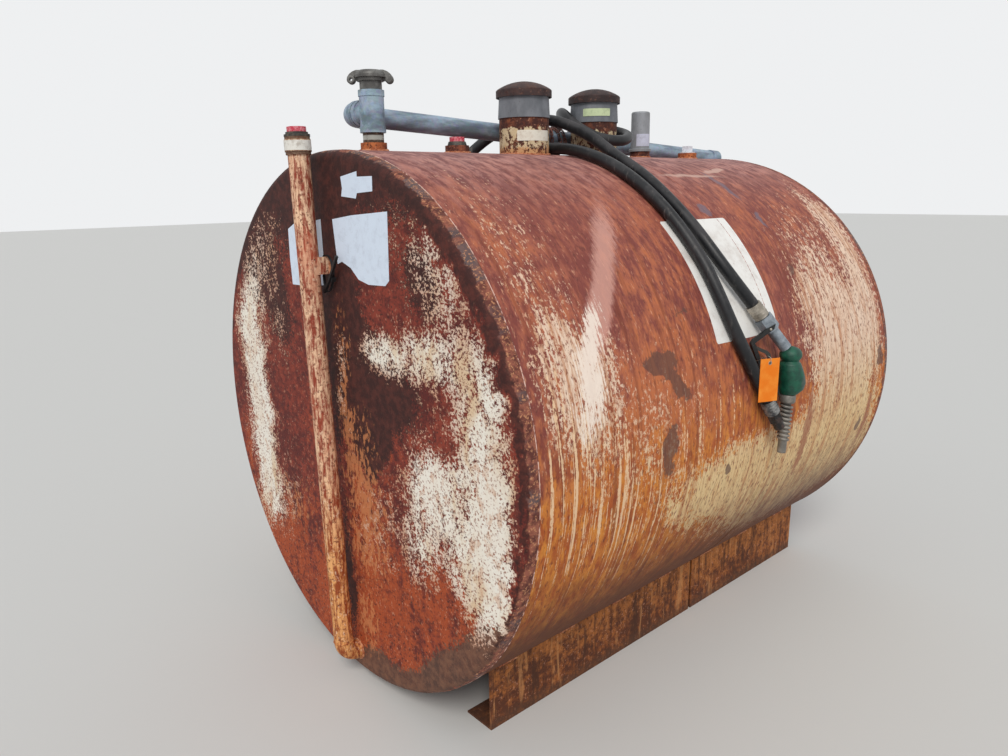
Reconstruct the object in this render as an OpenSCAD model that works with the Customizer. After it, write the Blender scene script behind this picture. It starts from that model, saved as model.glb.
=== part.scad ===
// Horizontal double-wall fuel storage tank on skids, with its vents, fill pipe, gauge and loose hose.
// X runs along the tank from the near head to the far one, the hose hangs on the -Y side, Z is up.
// The origin is on the ground, under the middle of the tank and its pipework.

/* [Tank] */
// Outside diameter of the shell
shell_od = 1626; // [1500:2:1750]
// Length over the two heads
tank_length = 1930; // [1850:5:2100]
// Thickness of the shell and head plate
plate_t = 5; // [4:0.5:8]
// Outside radius of the knuckle round each head
knuckle_r = 26; // [18:1:34]
// Depth of each head, from its face to its weld
head_depth = 42; // [38:1:80]
// Distance from the near head's face to the seam between the two shell courses
seam_x = 1096; // [900:2:1300]
// Clearance between the shell and the ground
ground_gap = 25; // [15:1:60]

/* [Skids] */
// Distance from the tank's centre plane to the outer face of each web
skid_y = 504; // [440:2:560]
// Thickness of the bent skid plate
skid_plate_t = 6; // [5:0.5:10]
// Width of the flange that lies on the ground
skid_flange_w = 110; // [80:2:140]
// Distance from the near head's face to the near end of the skids
skid_near_inset = 140; // [100:5:200]
// Distance from the far head's face to the far end of the skids
skid_far_inset = 75; // [60:5:200]
// Distance from the near head's face to the middle of the gap between skid lengths
skid_split_x = 1120; // [900:5:1300]
// Width of the gap between skid lengths
skid_split_gap = 12; // [6:1:30]

/* [Pipe and fittings] */
// Outside diameter of the pipe
pipe_od = 60.3; // [57:0.1:62]
// Wall of the pipe
pipe_wall = 3.9; // [3:0.1:5.5]
// Wall that a cast fitting has outside its pipe
fitting_wall = 5.2; // [4:0.1:7]
// Height by which a collar stands out from a cast fitting
collar_rise = 2; // [1:0.1:4]
// Distance from the middle of a fitting to its mouth
fitting_arm = 58; // [54:1:70]
// Depth to which a pipe goes into a fitting
pipe_engagement = 15; // [10:1:18]
// Outside diameter of the sockets welded to the shell
socket_od = 76; // [73:0.5:84]
// Height of the welded sockets over the shell's top line
socket_h = 22; // [16:1:30]

/* [Fill assembly] */
// Distance from the near head's face to the fill pipe
fill_x = 167; // [140:1:200]
// Free height of the nipple between the socket and the tee
nipple_h = 28; // [20:1:40]
// Free height of the adapter's neck over the tee
adapter_neck_h = 24; // [18:1:34]
// Diameter of the adapter's rim
adapter_rim_od = 76; // [74:1:84]
// Height of the adapter's rim
adapter_rim_h = 9; // [7:1:14]
// Diameter of the hinged lid
lid_od = 88; // [86:1:94]
// Height of the hinged lid
lid_h = 20; // [16:1:26]
// Distance from the fill pipe's centre to the hinge pin and to the padlock hole
lid_ear_reach = 54; // [52:1:60]
// Diameter of the hinge pin
hinge_pin_d = 6; // [5:0.5:8]

/* [Top pipe] */
// Distance by which the top pipe runs on past the far head
top_pipe_overhang = 140; // [120:5:260]
// Length of the threaded sleeve on its open end
sleeve_l = 55; // [40:1:80]
// Wall of the sleeve outside the pipe
sleeve_wall = 3.2; // [2.5:0.1:5]

/* [Emergency vents] */
// Distance from the near head's face to the front vent
vent_front_x = 766; // [720:1:800]
// Distance from the near head's face to the back vent
vent_back_x = 1118; // [1090:1:1160]
// Outside diameter of the vent risers
riser_od = 168.3; // [160:0.1:172]
// Wall of the vent risers
riser_wall = 7.1; // [5:0.1:9]
// Height of the vent risers over the shell's top line
riser_h = 134; // [120:1:150]
// Height of a vent hood
hood_h = 74; // [66:1:90]
// Depth to which a hood goes down over its riser
hood_overlap = 18; // [12:1:24]
// Wall of a hood at its foot, outside the riser
hood_foot_wall = 3.6; // [3:0.1:6]
// Amount by which a hood's radius shrinks towards its top
hood_taper = 4; // [2:0.5:6]
// Radial clearance between a hood and the skirt of its cap
cap_clearance = 5.5; // [5:0.5:8]
// Wall of the cast cap
cap_wall = 4.5; // [3.5:0.5:7]
// Height of the cap's rim
cap_rim_h = 26; // [16:1:30]
// Height of the cap's dome over its rim
cap_dome_h = 26; // [20:1:44]
// Depth by which the rim hangs down round the hood
cap_skirt_drop = 8; // [5:1:12]
// Diameter of the cap's guide stem
stem_d = 14; // [12:1:20]
// Height that the cap lifts when the vent opens
cap_lift = 25; // [15:1:30]

/* [Gauge and plugs] */
// Distance from the near head's face to the gauge
gauge_x = 1390; // [1330:1:1450]
// Diameter of the gauge hood
gauge_od = 71; // [66:1:76]
// Height of the gauge hood over its flange
gauge_h = 138; // [110:1:170]
// Width of the flange outside the gauge hood
gauge_flange = 8; // [6:0.5:12]
// Thickness of the flange under the gauge hood
gauge_flange_t = 10; // [8:1:14]
// Distance from the near head's face to the small port with the red plug
small_port_x = 475; // [430:1:540]
// Distance from the far head's face to the port with the white plug
white_port_inset = 224; // [180:1:280]

/* [Monitor pipe] */
// Distance from the tank's centre plane to the monitor pipe's outlet, towards the hose side
monitor_y = 10; // [0:1:60]
// Height of the monitor pipe's outlet over the ground
monitor_z = 98; // [85:1:140]
// Bend radius of the welded elbow
monitor_bend = 50.8; // [45:0.1:76]
// Angle at which the monitor pipe leans
monitor_lean = 2; // [0:0.1:3]
// Height of the pipe's top end over the elbow's outlet
monitor_l = 1556; // [1400:2:1650]
// Diameter of the coupling on top
coupling_od = 73; // [70:0.5:80]
// Height of the coupling on top
coupling_h = 48; // [40:1:60]
// Height of the bracket over the elbow's outlet
bracket_z = 1235; // [900:5:1350]
// Height of the bracket plate
bracket_h = 49; // [36:1:60]
// Thickness of the bracket plate
bracket_t = 8; // [6:0.5:10]

/* [Hose and nozzle] */
// Outside diameter of the hose
hose_od = 38; // [32:1:40]
// Diameter of the crimped ferrules
ferrule_od = 46; // [44:1:52]
// Length of the crimped ferrules
ferrule_l = 50; // [40:1:60]
// Length of the threaded fitting on the open end
end_fitting_l = 56; // [40:1:70]
// Width over corners of the nozzle's swivel
swivel_od = 56; // [50:1:62]
// Length of the nozzle's swivel
swivel_l = 48; // [40:1:56]
// Diameter of the nozzle's neck
neck_od = 36; // [30:1:40]
// Distance from the hose's end to the middle of the nozzle's knob
knob_reach = 200; // [190:1:215]
// Diameter of the nozzle's knob
knob_od = 64; // [56:1:70]
// Width of the nozzle's body
body_od = 78; // [70:1:80]
// Length of the nozzle's body below its knob
body_l = 128; // [115:1:140]
// Diameter of the spring guard on the spout
spring_od = 37; // [34:1:42]
// Length of the spout with its collar and spring guard
spout_l = 185; // [160:1:210]
// Diameter of the bare spout
spout_od = 27; // [24:1:30]
// Diameter of the pin that the nozzle's lever turns on
lever_pin_d = 6; // [5:0.5:8]
// Thickness of the lever
lever_t = 5; // [4:0.5:7]
// Width of the tag
tag_w = 66; // [56:1:70]
// Length of the tag
tag_l = 132; // [110:1:134]
// Thickness of the tag
tag_t = 1.2; // [1:0.1:2]

/* [Hidden] */
$fn = 72;
shell_fn = 180;
shell_r = shell_od / 2;
axis_z = ground_gap + shell_r;
top_z = axis_z + shell_r;
pipe_r = pipe_od / 2;
bore_r = pipe_r - pipe_wall;
fitting_r = pipe_r + fitting_wall;
collar_r = fitting_r + collar_rise;
socket_top = top_z + socket_h;
// Radial clearance of a pipe in its socket, and of a piece that lies on another
fit_gap = 0.25;
rest_gap = 0.3;
// Radial running clearance of a pin in its hole
pin_gap = 0.1;

white_port_x = tank_length - white_port_inset;

tee_z = socket_top + nipple_h + fitting_arm;
adapter_z = tee_z + fitting_arm;
rim_z = adapter_z + adapter_neck_h;
rim_top = rim_z + adapter_rim_h;
adapter_neck_r = pipe_r + 1.5;
hinge_z = rim_z + adapter_rim_h / 2;
lug_w = 12;
lug_r = 8;
cheek_t = 6;
side_gap = 0.5;
lid_skin = 7;
// The lid's ears lie along a line that is turned from the tank's axis
lid_turn = -40;

top_pipe_y = 2 * fitting_arm + 4;
seat_x = tank_length - knuckle_r;
seat_z = axis_z + sqrt(pow(shell_r + pipe_r + rest_gap, 2) - pow(top_pipe_y, 2));
top_pipe_pitch = atan2(tee_z - seat_z, seat_x - fill_x);
top_pipe_l = (tank_length + top_pipe_overhang - fill_x) / cos(top_pipe_pitch);
sleeve_r = pipe_r + sleeve_wall;
sleeve_grip = sleeve_l / 2;
far_x = fill_x + (top_pipe_l + sleeve_l - sleeve_grip) * cos(top_pipe_pitch) + sleeve_r * sin(top_pipe_pitch);
near_x = -monitor_bend - coupling_od / 2;
centre_x = (near_x + far_x) / 2;

riser_r = riser_od / 2;
riser_bore_r = riser_r - riser_wall;
hood_foot_r = riser_r + hood_foot_wall;
hood_top_r = hood_foot_r - hood_taper;
hood_wall = 6;
hood_z = riser_h - hood_overlap;
hood_top_z = hood_z + hood_h;
cap_in_r = hood_top_r + cap_clearance;
cap_r = cap_in_r + cap_wall;
bar_h = 10;
bar_z = hood_top_z - 34;
hub_r = stem_d / 2 + 7;
stem_l = cap_lift + 34;

hose_r = hose_od / 2;
// How far the hose's middle line lies from the shell where the hose rests on it
hose_seat = hose_r + 3;
// The hose from its nozzle to its open end: distance from the near head's face, angle round the
// tank's axis from the back side over the top to the hose side, and height above the seat
hose_route = [
    [985, 155.5, 8], [926, 148, 8], [903, 135, 0], [912, 120, 0], [943, 107, 10], [950, 97, 55],
    [928, 88, 99], [882, 80, 111], [835, 73.5, 88], [770, 66.5, 41], [698, 58, 7], [766, 43, 2],
    [965, 37, 0], [1163, 42.5, 0], [1243, 55, 5], [1237, 70.5, 68], [1216, 80, 101], [1221, 85.5, 87],
    [1234, 90.5, 69], [1200, 96, 51], [1114, 98.5, 36], [1032, 96, 43], [1000, 91, 83],
    [1012, 87.5, 119], [1044, 84.5, 138], [1092, 81.5, 132], [1125, 77, 106], [1137, 70, 55],
    [1130, 58, 7], [1089, 51, 0], [990, 48, 0], [891, 51, 0], [851, 62, 0], [857, 76, 0],
    [872, 89.5, 0], [858, 105, 0], [838, 123, 0], [839, 143, 0], [870, 161, 1], [980, 175.5, 5]
];
hose_sides = 10;
// Longest distance between two rings of the hose
ring_step = 105;

// Points along an arc, as [radius, height] pairs
function arc(centre, r, from, to, steps) = [
    for (i = [0:steps]) centre + r * [cos(from + (to - from) * i / steps), sin(from + (to - from) * i / steps)]
];
function unit(v) = v / norm(v);
// A point over the shell: distance from the near head's face, angle round the axis, distance from the axis
function over_shell(x, angle, r) = [x, r * cos(angle), axis_z + r * sin(angle)];

// A smooth line through the route's points
function route_point(i) = over_shell(hose_route[i][0], hose_route[i][1], shell_r + hose_seat + hose_route[i][2]);
route_last = len(hose_route) - 1;
route = [for (i = [0:route_last]) route_point(i)];
function gap(i) = norm(route[i + 1] - route[i]);
function slope(i) = (route[i + 1] - route[i]) / gap(i);
function heading(i) =
    i == 0 ? slope(0)
    : i == route_last ? slope(route_last - 1)
    : unit(slope(i) * gap(i - 1) + slope(i - 1) * gap(i));
function blend(i, t) =
    (2 * t * t * t - 3 * t * t + 1) * route[i]
    + (t * t * t - 2 * t * t + t) * gap(i) * heading(i)
    + (3 * t * t - 2 * t * t * t) * route[i + 1]
    + (t * t * t - t * t) * gap(i) * heading(i + 1);
hose_line = [
    for (i = [0:route_last - 1])
        let (steps = ceil(gap(i) / ring_step))
            for (k = [0:steps - 1]) blend(i, k / steps),
    route[route_last]
];
hose_last = len(hose_line) - 1;
function line_heading(i) =
    i == 0 ? slope(0)
    : i == hose_last ? slope(route_last - 1)
    : unit(hose_line[i + 1] - hose_line[i - 1]);
// The first cross direction of each ring, carried along the line without twist
function cross_ways(i, way) =
    let (ahead = line_heading(i), flat = unit(way - (way * ahead) * ahead))
    i == hose_last ? [flat] : concat([flat], cross_ways(i + 1, flat));
hose_ways = cross_ways(0, [0, 1, 0.2]);

nozzle_start = route[0];
nozzle_way = -slope(0);
open_end = route[route_last];
open_way = slope(route_last - 1);
knob = nozzle_start + knob_reach * nozzle_way;
// How far the guard's plane is turned from the tank's axis, and how far the spout leans
guard_turn = 24;
guard_t = 10;
spout_lean = 4;
// The lever's pin in the guard's plane, and the length that stands out behind the guard
lever_pin = [-60, -86];
lever_pin_l = lever_t + 2 * side_gap;

// Everything is drawn from the near head's face and then moved to the part's own origin
module in_place() {
    translate([-centre_x, 0, 0]) children();
}

// Draws its children along a direction, from a point
module along(point, way) {
    translate(point)
        rotate([0, acos(way[2] / norm(way)), atan2(way[1], way[0])])
            children();
}

module on_top(x) {
    translate([x, 0, 0]) children();
}

module shell_solid() {
    translate([0, 0, axis_z])
        rotate([0, 90, 0])
            cylinder(r = shell_r, h = tank_length, $fn = shell_fn);
}

// The holes that the shell has under its risers and sockets
module shell_holes() {
    for (place = [[vent_front_x, riser_bore_r], [vent_back_x, riser_bore_r], [fill_x, bore_r],
                  [small_port_x, bore_r], [gauge_x, bore_r], [white_port_x, bore_r]])
        translate([place[0], 0, top_z - 3 * plate_t - 10])
            cylinder(r = place[1], h = 3 * plate_t + 20);
}

module course(from, to) {
    difference() {
        translate([from, 0, axis_z])
            rotate([0, 90, 0])
                difference() {
                    cylinder(r = shell_r, h = to - from, $fn = shell_fn);
                    translate([0, 0, -1])
                        cylinder(r = shell_r - plate_t, h = to - from + 2, $fn = shell_fn);
                }
        shell_holes();
    }
}

// A flat head with a rounded knuckle and a short straight edge, its face at x = 0
module head() {
    inner = max(knuckle_r - plate_t, 1);
    translate([0, 0, axis_z])
        rotate([0, 90, 0])
            rotate_extrude($fn = shell_fn)
                polygon(concat(
                    [[0, 0]],
                    arc([shell_r - knuckle_r, knuckle_r], knuckle_r, -90, 0, 8),
                    [[shell_r, head_depth], [shell_r - plate_t, head_depth]],
                    arc([shell_r - knuckle_r, knuckle_r], inner, 0, -90, 8),
                    [[0, plate_t]]
                ));
}

module near_head() {
    color("#6b3a2c") head();
}

module far_head() {
    color("#6b3a2c") translate([tank_length, 0, 0]) mirror([1, 0, 0]) head();
}

module near_shell_course() {
    color("#9a5445") course(head_depth, seam_x);
}

module far_shell_course() {
    color("#9a5445") course(seam_x, tank_length - head_depth);
}

// One bent plate: a web that is cut to the shell and welded to it, and a flange on the ground
module skid(from, to, side) {
    web_top = axis_z - sqrt(pow(shell_r, 2) - pow(skid_y, 2));
    color("#8a5632")
        scale([1, side, 1])
            difference() {
                translate([from, -skid_y, 0]) {
                    cube([to - from, skid_plate_t, web_top]);
                    cube([to - from, skid_flange_w, skid_plate_t]);
                }
                shell_solid();
            }
}

module hose_side_skid_near() {
    skid(skid_near_inset, skid_split_x - skid_split_gap / 2, 1);
}

module hose_side_skid_far() {
    skid(skid_split_x + skid_split_gap / 2, tank_length - skid_far_inset, 1);
}

module back_skid_near() {
    skid(skid_near_inset, skid_split_x - skid_split_gap / 2, -1);
}

module back_skid_far() {
    skid(skid_split_x + skid_split_gap / 2, tank_length - skid_far_inset, -1);
}

// The monitor pipe is drawn upright over its outlet and leans with it
module on_monitor() {
    translate([0, -monitor_y, monitor_z]) rotate([-monitor_lean, 0, 0]) children();
}

module monitor_elbow() {
    color("#a8683a")
        on_monitor()
            translate([0, 0, monitor_bend])
                rotate([90, 0, 0])
                    rotate([0, 0, 180])
                        rotate_extrude(angle = 90)
                            translate([monitor_bend, 0])
                                difference() {
                                    circle(r = pipe_r);
                                    circle(r = bore_r);
                                }
}

module tube(r_out, r_in, h) {
    difference() {
        cylinder(r = r_out, h = h);
        translate([0, 0, -1]) cylinder(r = r_in, h = h + 2);
    }
}

module monitor_pipe() {
    color("#b87a58")
        on_monitor()
            translate([-monitor_bend, 0, monitor_bend])
                tube(pipe_r, bore_r, monitor_l - monitor_bend);
}

module monitor_bracket() {
    color("#9c5a30")
        on_monitor()
            difference() {
                translate([-monitor_bend, -pipe_r, bracket_z - bracket_h / 2])
                    cube([monitor_bend, bracket_t, bracket_h]);
                translate([-monitor_bend, 0, monitor_bend])
                    cylinder(r = pipe_r, h = monitor_l);
            }
}

module monitor_coupling() {
    color("#8f857a")
        on_monitor()
            translate([-monitor_bend, 0, monitor_l - pipe_engagement])
                difference() {
                    union() {
                        cylinder(r = coupling_od / 2 - collar_rise, h = coupling_h);
                        translate([0, 0, 8])
                            cylinder(r = coupling_od / 2, h = coupling_h - 16);
                    }
                    translate([0, 0, -1])
                        cylinder(r = pipe_r + fit_gap, h = pipe_engagement + 1);
                    cylinder(r = bore_r, h = coupling_h + 1);
                }
}

monitor_cap_z = monitor_l - pipe_engagement + coupling_h;
monitor_flange_t = 12;
monitor_plug_h = 14;

module monitor_flange() {
    color("#4a3a35")
        on_monitor()
            translate([-monitor_bend, 0, monitor_cap_z]) {
                cylinder(r = coupling_od / 2 - 1, h = monitor_flange_t / 2);
                cylinder(r = coupling_od / 2 - 6, h = monitor_flange_t);
                translate([0, 0, -pipe_engagement])
                    cylinder(r = bore_r - fit_gap, h = pipe_engagement);
            }
}

module monitor_plug() {
    color("#c22a3a")
        on_monitor()
            translate([-monitor_bend, 0, monitor_cap_z + monitor_flange_t])
                tube(26.5, 17, monitor_plug_h);
}

// A socket whose foot is cut to the shell
module welded_foot(r_out, r_in, top) {
    difference() {
        translate([0, 0, axis_z + sqrt(pow(shell_r, 2) - pow(r_out, 2)) - 2])
            cylinder(r = r_out, h = top - axis_z - sqrt(pow(shell_r, 2) - pow(r_out, 2)) + 2);
        translate([0, 0, axis_z]) cylinder(r = r_in, h = shell_r + top);
        translate([-riser_od, 0, axis_z])
            rotate([0, 90, 0])
                cylinder(r = shell_r, h = 2 * riser_od, $fn = shell_fn);
    }
}

module socket() {
    color("#b4591f") welded_foot(socket_od / 2, pipe_r + fit_gap, socket_top);
}

module fill_socket() {
    on_top(fill_x) socket();
}

module fill_nipple() {
    color("#8f7a66")
        on_top(fill_x)
            translate([0, 0, socket_top - pipe_engagement])
                tube(pipe_r, bore_r, nipple_h + 2 * pipe_engagement);
}

// The solid of one arm of a cast fitting, along +Z from the fitting's middle
module arm_solid() {
    cylinder(r = fitting_r, h = fitting_arm);
    translate([0, 0, fitting_arm - 17]) cylinder(r = collar_r, h = 17);
}

module arm_bore() {
    cylinder(r = bore_r, h = fitting_arm + 1);
    translate([0, 0, fitting_arm - pipe_engagement])
        cylinder(r = pipe_r + fit_gap, h = pipe_engagement + 1);
}

module fill_tee() {
    color("#8a959c")
        translate([fill_x, 0, tee_z])
            difference() {
                union() {
                    arm_solid();
                    rotate([180, 0, 0]) arm_solid();
                    rotate([-90, 0, 0]) arm_solid();
                }
                arm_bore();
                rotate([180, 0, 0]) arm_bore();
                rotate([-90, 0, 0]) arm_bore();
            }
}

// The adapter's neck, its rim, the hinge lug on one side and the padlock ear on the other
module fill_adapter() {
    color("#7f8589")
        translate([fill_x, 0, 0])
            rotate([0, 0, lid_turn])
                difference() {
                    union() {
                        translate([0, 0, adapter_z - pipe_engagement])
                            cylinder(r = pipe_r, h = pipe_engagement);
                        translate([0, 0, adapter_z])
                            cylinder(r = adapter_neck_r, h = adapter_neck_h);
                        translate([0, 0, rim_z])
                            cylinder(r = adapter_rim_od / 2, h = adapter_rim_h);
                        translate([0, -lug_w / 2, hinge_z - 4])
                            cube([lid_ear_reach, lug_w, 8]);
                        translate([lid_ear_reach, lug_w / 2, hinge_z])
                            rotate([90, 0, 0]) cylinder(r = lug_r, h = lug_w);
                        translate([-lid_ear_reach, -lug_w / 2, hinge_z - 4])
                            cube([lid_ear_reach, lug_w / 2, 8]);
                        translate([-lid_ear_reach, 0, hinge_z])
                            rotate([90, 0, 0]) cylinder(r = lug_r, h = lug_w / 2);
                    }
                    translate([0, 0, adapter_z - pipe_engagement - 1])
                        cylinder(r = bore_r, h = pipe_engagement + adapter_neck_h + adapter_rim_h + 2);
                    translate([lid_ear_reach, lug_w, hinge_z])
                        rotate([90, 0, 0]) cylinder(r = hinge_pin_d / 2 + pin_gap, h = 2 * lug_w);
                    translate([-lid_ear_reach, lug_w, hinge_z])
                        rotate([90, 0, 0]) cylinder(r = hinge_pin_d / 2 + 1, h = 2 * lug_w);
                }
}

// One ear of the lid: a cheek round the pin and an arm up to the lid's plate
module lid_ear(x, y) {
    translate([x, y + cheek_t, hinge_z])
        rotate([90, 0, 0]) cylinder(r = lug_r, h = cheek_t);
    translate([x - (x > 0 ? lug_r : -lug_r) / 2 - lug_r / 2, y, hinge_z])
        cube([lug_r, cheek_t, rim_top + rest_gap + lid_skin - hinge_z]);
    translate([x > 0 ? 0 : x, y, rim_top + rest_gap])
        cube([abs(x), cheek_t, lid_skin]);
}

module fill_lid() {
    ear_y = lug_w / 2 + side_gap;
    color("#75706c")
        translate([fill_x, 0, 0])
            rotate([0, 0, lid_turn])
                difference() {
                    union() {
                        translate([0, 0, rim_top + rest_gap])
                            rotate_extrude()
                                polygon(concat(
                                    [[0, 0], [lid_od / 2, 0], [lid_od / 2, lid_skin]],
                                    arc([lid_od / 2 - 14, lid_h - 14], 14, 30, 90, 5),
                                    [[0, lid_h]]
                                ));
                        lid_ear(lid_ear_reach, ear_y);
                        lid_ear(lid_ear_reach, -ear_y - cheek_t);
                        lid_ear(-lid_ear_reach, side_gap);
                        translate([lid_ear_reach, ear_y + cheek_t, hinge_z])
                            rotate([90, 0, 0]) cylinder(d = hinge_pin_d, h = 2 * (ear_y + cheek_t));
                    }
                    translate([-lid_ear_reach, lug_w, hinge_z])
                        rotate([90, 0, 0]) cylinder(r = hinge_pin_d / 2 + 1, h = 2 * lug_w);
                }
}

module side_nipple() {
    color("#7d8890")
        translate([fill_x, fitting_arm - pipe_engagement, tee_z])
            rotate([-90, 0, 0])
                tube(pipe_r, bore_r, top_pipe_y - 2 * fitting_arm + 2 * pipe_engagement);
}

// The elbow behind the tee is screwed round until its mouth points along the top pipe
module on_top_pipe() {
    translate([fill_x, top_pipe_y, tee_z]) rotate([0, 90 + top_pipe_pitch, 0]) children();
}

module towards_tee() {
    translate([fill_x, top_pipe_y, tee_z]) rotate([90, 0, 0]) children();
}

elbow_bend = fitting_r + 5;

module elbow_turn(r) {
    translate([fill_x, top_pipe_y, tee_z])
        rotate([0, top_pipe_pitch, 0])
            translate([elbow_bend, -elbow_bend, 0])
                rotate([0, 0, 90])
                    rotate_extrude(angle = 90)
                        translate([elbow_bend, 0])
                            circle(r = r);
}

// The arms start a little before the turn ends
elbow_lap = 1;

module elbow_arm() {
    translate([0, 0, elbow_bend - elbow_lap]) cylinder(r = collar_r, h = fitting_arm - elbow_bend + elbow_lap);
}

module elbow_arm_bore() {
    translate([0, 0, elbow_bend - 2 * elbow_lap])
        cylinder(r = bore_r + fit_gap, h = fitting_arm - elbow_bend + 2 * elbow_lap + 1);
    translate([0, 0, fitting_arm - pipe_engagement])
        cylinder(r = pipe_r + fit_gap, h = pipe_engagement + 1);
}

module side_elbow() {
    color("#7f8a92")
        difference() {
            union() {
                elbow_turn(fitting_r);
                on_top_pipe() elbow_arm();
                towards_tee() elbow_arm();
            }
            elbow_turn(bore_r);
            on_top_pipe() elbow_arm_bore();
            towards_tee() elbow_arm_bore();
        }
}

module top_pipe() {
    color("#93a0a8")
        on_top_pipe()
            translate([0, 0, fitting_arm - pipe_engagement])
                tube(pipe_r, bore_r, top_pipe_l - fitting_arm + pipe_engagement);
}

module top_pipe_sleeve() {
    color("#a39a96")
        on_top_pipe()
            translate([0, 0, top_pipe_l - sleeve_grip])
                difference() {
                    cylinder(r = sleeve_r, h = sleeve_l);
                    translate([0, 0, -1]) cylinder(r = pipe_r + fit_gap, h = sleeve_grip + 1);
                    cylinder(r = pipe_r - 1.5, h = sleeve_l + 1);
                }
}

module small_port_socket() {
    on_top(small_port_x) socket();
}

bushing_h = 12;

module small_port_bushing() {
    color("#4a4b46")
        on_top(small_port_x)
            translate([0, 0, socket_top]) {
                cylinder(r1 = pipe_r + 1, r2 = pipe_r - 3, h = bushing_h);
                translate([0, 0, -pipe_engagement]) cylinder(r = pipe_r, h = pipe_engagement);
            }
}

module red_plug() {
    color("#c22a3a")
        on_top(small_port_x)
            translate([0, 0, socket_top + bushing_h])
                tube(24, 16, 14);
}

module vent_riser(x) {
    color("#9c5a34") on_top(x) welded_foot(riser_r, riser_bore_r, top_z + riser_h);
}

// A hood over the riser's top, with a bar across it that guides the cap's stem
module vent_hood(x) {
    color("#77756f")
        translate([x, 0, top_z])
            difference() {
                union() {
                    rotate_extrude()
                        polygon([
                            [riser_r + fit_gap, hood_z], [hood_foot_r, hood_z], [hood_top_r, hood_top_z],
                            [hood_top_r - hood_wall, hood_top_z], [hood_top_r - hood_wall, riser_h + hood_wall],
                            [riser_bore_r, riser_h], [riser_r + fit_gap, riser_h]
                        ]);
                    intersection() {
                        translate([-riser_r, -hub_r / 2, bar_z]) cube([riser_od, hub_r, bar_h]);
                        translate([0, 0, bar_z]) cylinder(r = hood_top_r - hood_wall / 2, h = bar_h);
                    }
                    translate([0, 0, bar_z]) cylinder(r = hub_r, h = bar_h);
                }
                translate([0, 0, bar_z - 1]) cylinder(r = stem_d / 2 + pin_gap, h = bar_h + 2);
            }
}

// A loose cast cap that rests on the hood and lifts on its stem
module vent_cap(x) {
    rim_foot = hood_top_z - cap_skirt_drop;
    rim_head = rim_foot + cap_rim_h;
    seat = hood_top_z + rest_gap;
    ball = (pow(cap_r - 4, 2) + pow(cap_dome_h, 2)) / (2 * cap_dome_h);
    span = asin((cap_r - 4) / ball);
    color("#5b3a30")
        translate([x, 0, top_z]) {
            rotate_extrude()
                polygon(concat(
                    [[cap_in_r, rim_foot], [cap_r, rim_foot], [cap_r, rim_head - 4], [cap_r - 4, rim_head]],
                    arc([0, rim_head + cap_dome_h - ball], ball, 90 - span, 90, 8),
                    [[0, rim_head + cap_dome_h - cap_wall]],
                    arc([0, rim_head + cap_dome_h - ball], ball - cap_wall, 90, 90 - span * 0.86, 6),
                    [[hood_top_r - 10, seat], [cap_in_r, seat]]
                ));
            translate([0, 0, hood_top_z - stem_l])
                cylinder(d = stem_d, h = stem_l + rim_head - hood_top_z + cap_dome_h - cap_wall / 2);
        }
}

module front_vent_riser() {
    vent_riser(vent_front_x);
}

module front_vent_hood() {
    vent_hood(vent_front_x);
}

module front_vent_cap() {
    vent_cap(vent_front_x);
}

module back_vent_riser() {
    vent_riser(vent_back_x);
}

module back_vent_hood() {
    vent_hood(vent_back_x);
}

module back_vent_cap() {
    vent_cap(vent_back_x);
}

module gauge_socket() {
    on_top(gauge_x) socket();
}

module gauge_hood() {
    r = gauge_od / 2;
    color("#8d8a80")
        translate([gauge_x, 0, socket_top]) {
            rotate_extrude()
                polygon(concat(
                    [[0, 0], [r + gauge_flange, 0], [r + gauge_flange, gauge_flange_t - 2],
                     [r + gauge_flange - 2, gauge_flange_t], [r + 1, gauge_flange_t]],
                    arc([r - 7, gauge_flange_t + gauge_h - 7], 7, 0, 80, 4),
                    [[0, gauge_flange_t + gauge_h + 3]]
                ));
            translate([0, 0, -pipe_engagement]) cylinder(r = pipe_r, h = pipe_engagement);
        }
}

module white_port_socket() {
    on_top(white_port_x) socket();
}

module white_plug() {
    color("#e6e6e2")
        translate([white_port_x, 0, socket_top]) {
            translate([0, 0, -pipe_engagement]) cylinder(r = pipe_r, h = pipe_engagement);
            cylinder(r = pipe_r, h = 4);
            translate([-15, -15, 4]) cube([30, 30, 24]);
        }
}

module hose() {
    ring = [for (k = [0:hose_sides - 1]) k * 360 / hose_sides];
    points = [
        for (i = [0:hose_last])
            let (out = hose_ways[i], side = cross(line_heading(i), hose_ways[i]))
                for (a = ring) hose_line[i] + hose_r * (cos(a) * out + sin(a) * side)
    ];
    walls = [
        for (i = [0:hose_last - 1]) for (k = [0:hose_sides - 1])
            let (next = (k + 1) % hose_sides, here = i * hose_sides, there = (i + 1) * hose_sides)
                [here + k, there + k, there + next, here + next]
    ];
    first = [for (k = [0:hose_sides - 1]) k];
    last = [for (k = [hose_sides - 1:-1:0]) hose_last * hose_sides + k];
    color("#262626") polyhedron(points, concat(walls, [first, last]));
}

module ferrule() {
    cylinder(d = ferrule_od, h = ferrule_l - 3);
    translate([0, 0, ferrule_l - 3]) cylinder(d1 = ferrule_od, d2 = ferrule_od - 6, h = 3);
}

module open_end_ferrule() {
    color("#b9b6ae") along(open_end, open_way) ferrule();
}

module open_end_fitting() {
    color("#3a302e")
        along(open_end + ferrule_l * open_way, open_way)
            difference() {
                union() {
                    cylinder(d = ferrule_od - 2, h = end_fitting_l / 2, $fn = 6);
                    translate([0, 0, end_fitting_l / 2]) cylinder(r = 16.7, h = end_fitting_l / 2);
                }
                translate([0, 0, 6]) cylinder(r = 12, h = end_fitting_l);
            }
}

module nozzle_ferrule() {
    color("#b9b6ae") along(nozzle_start, nozzle_way) ferrule();
}

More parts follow.
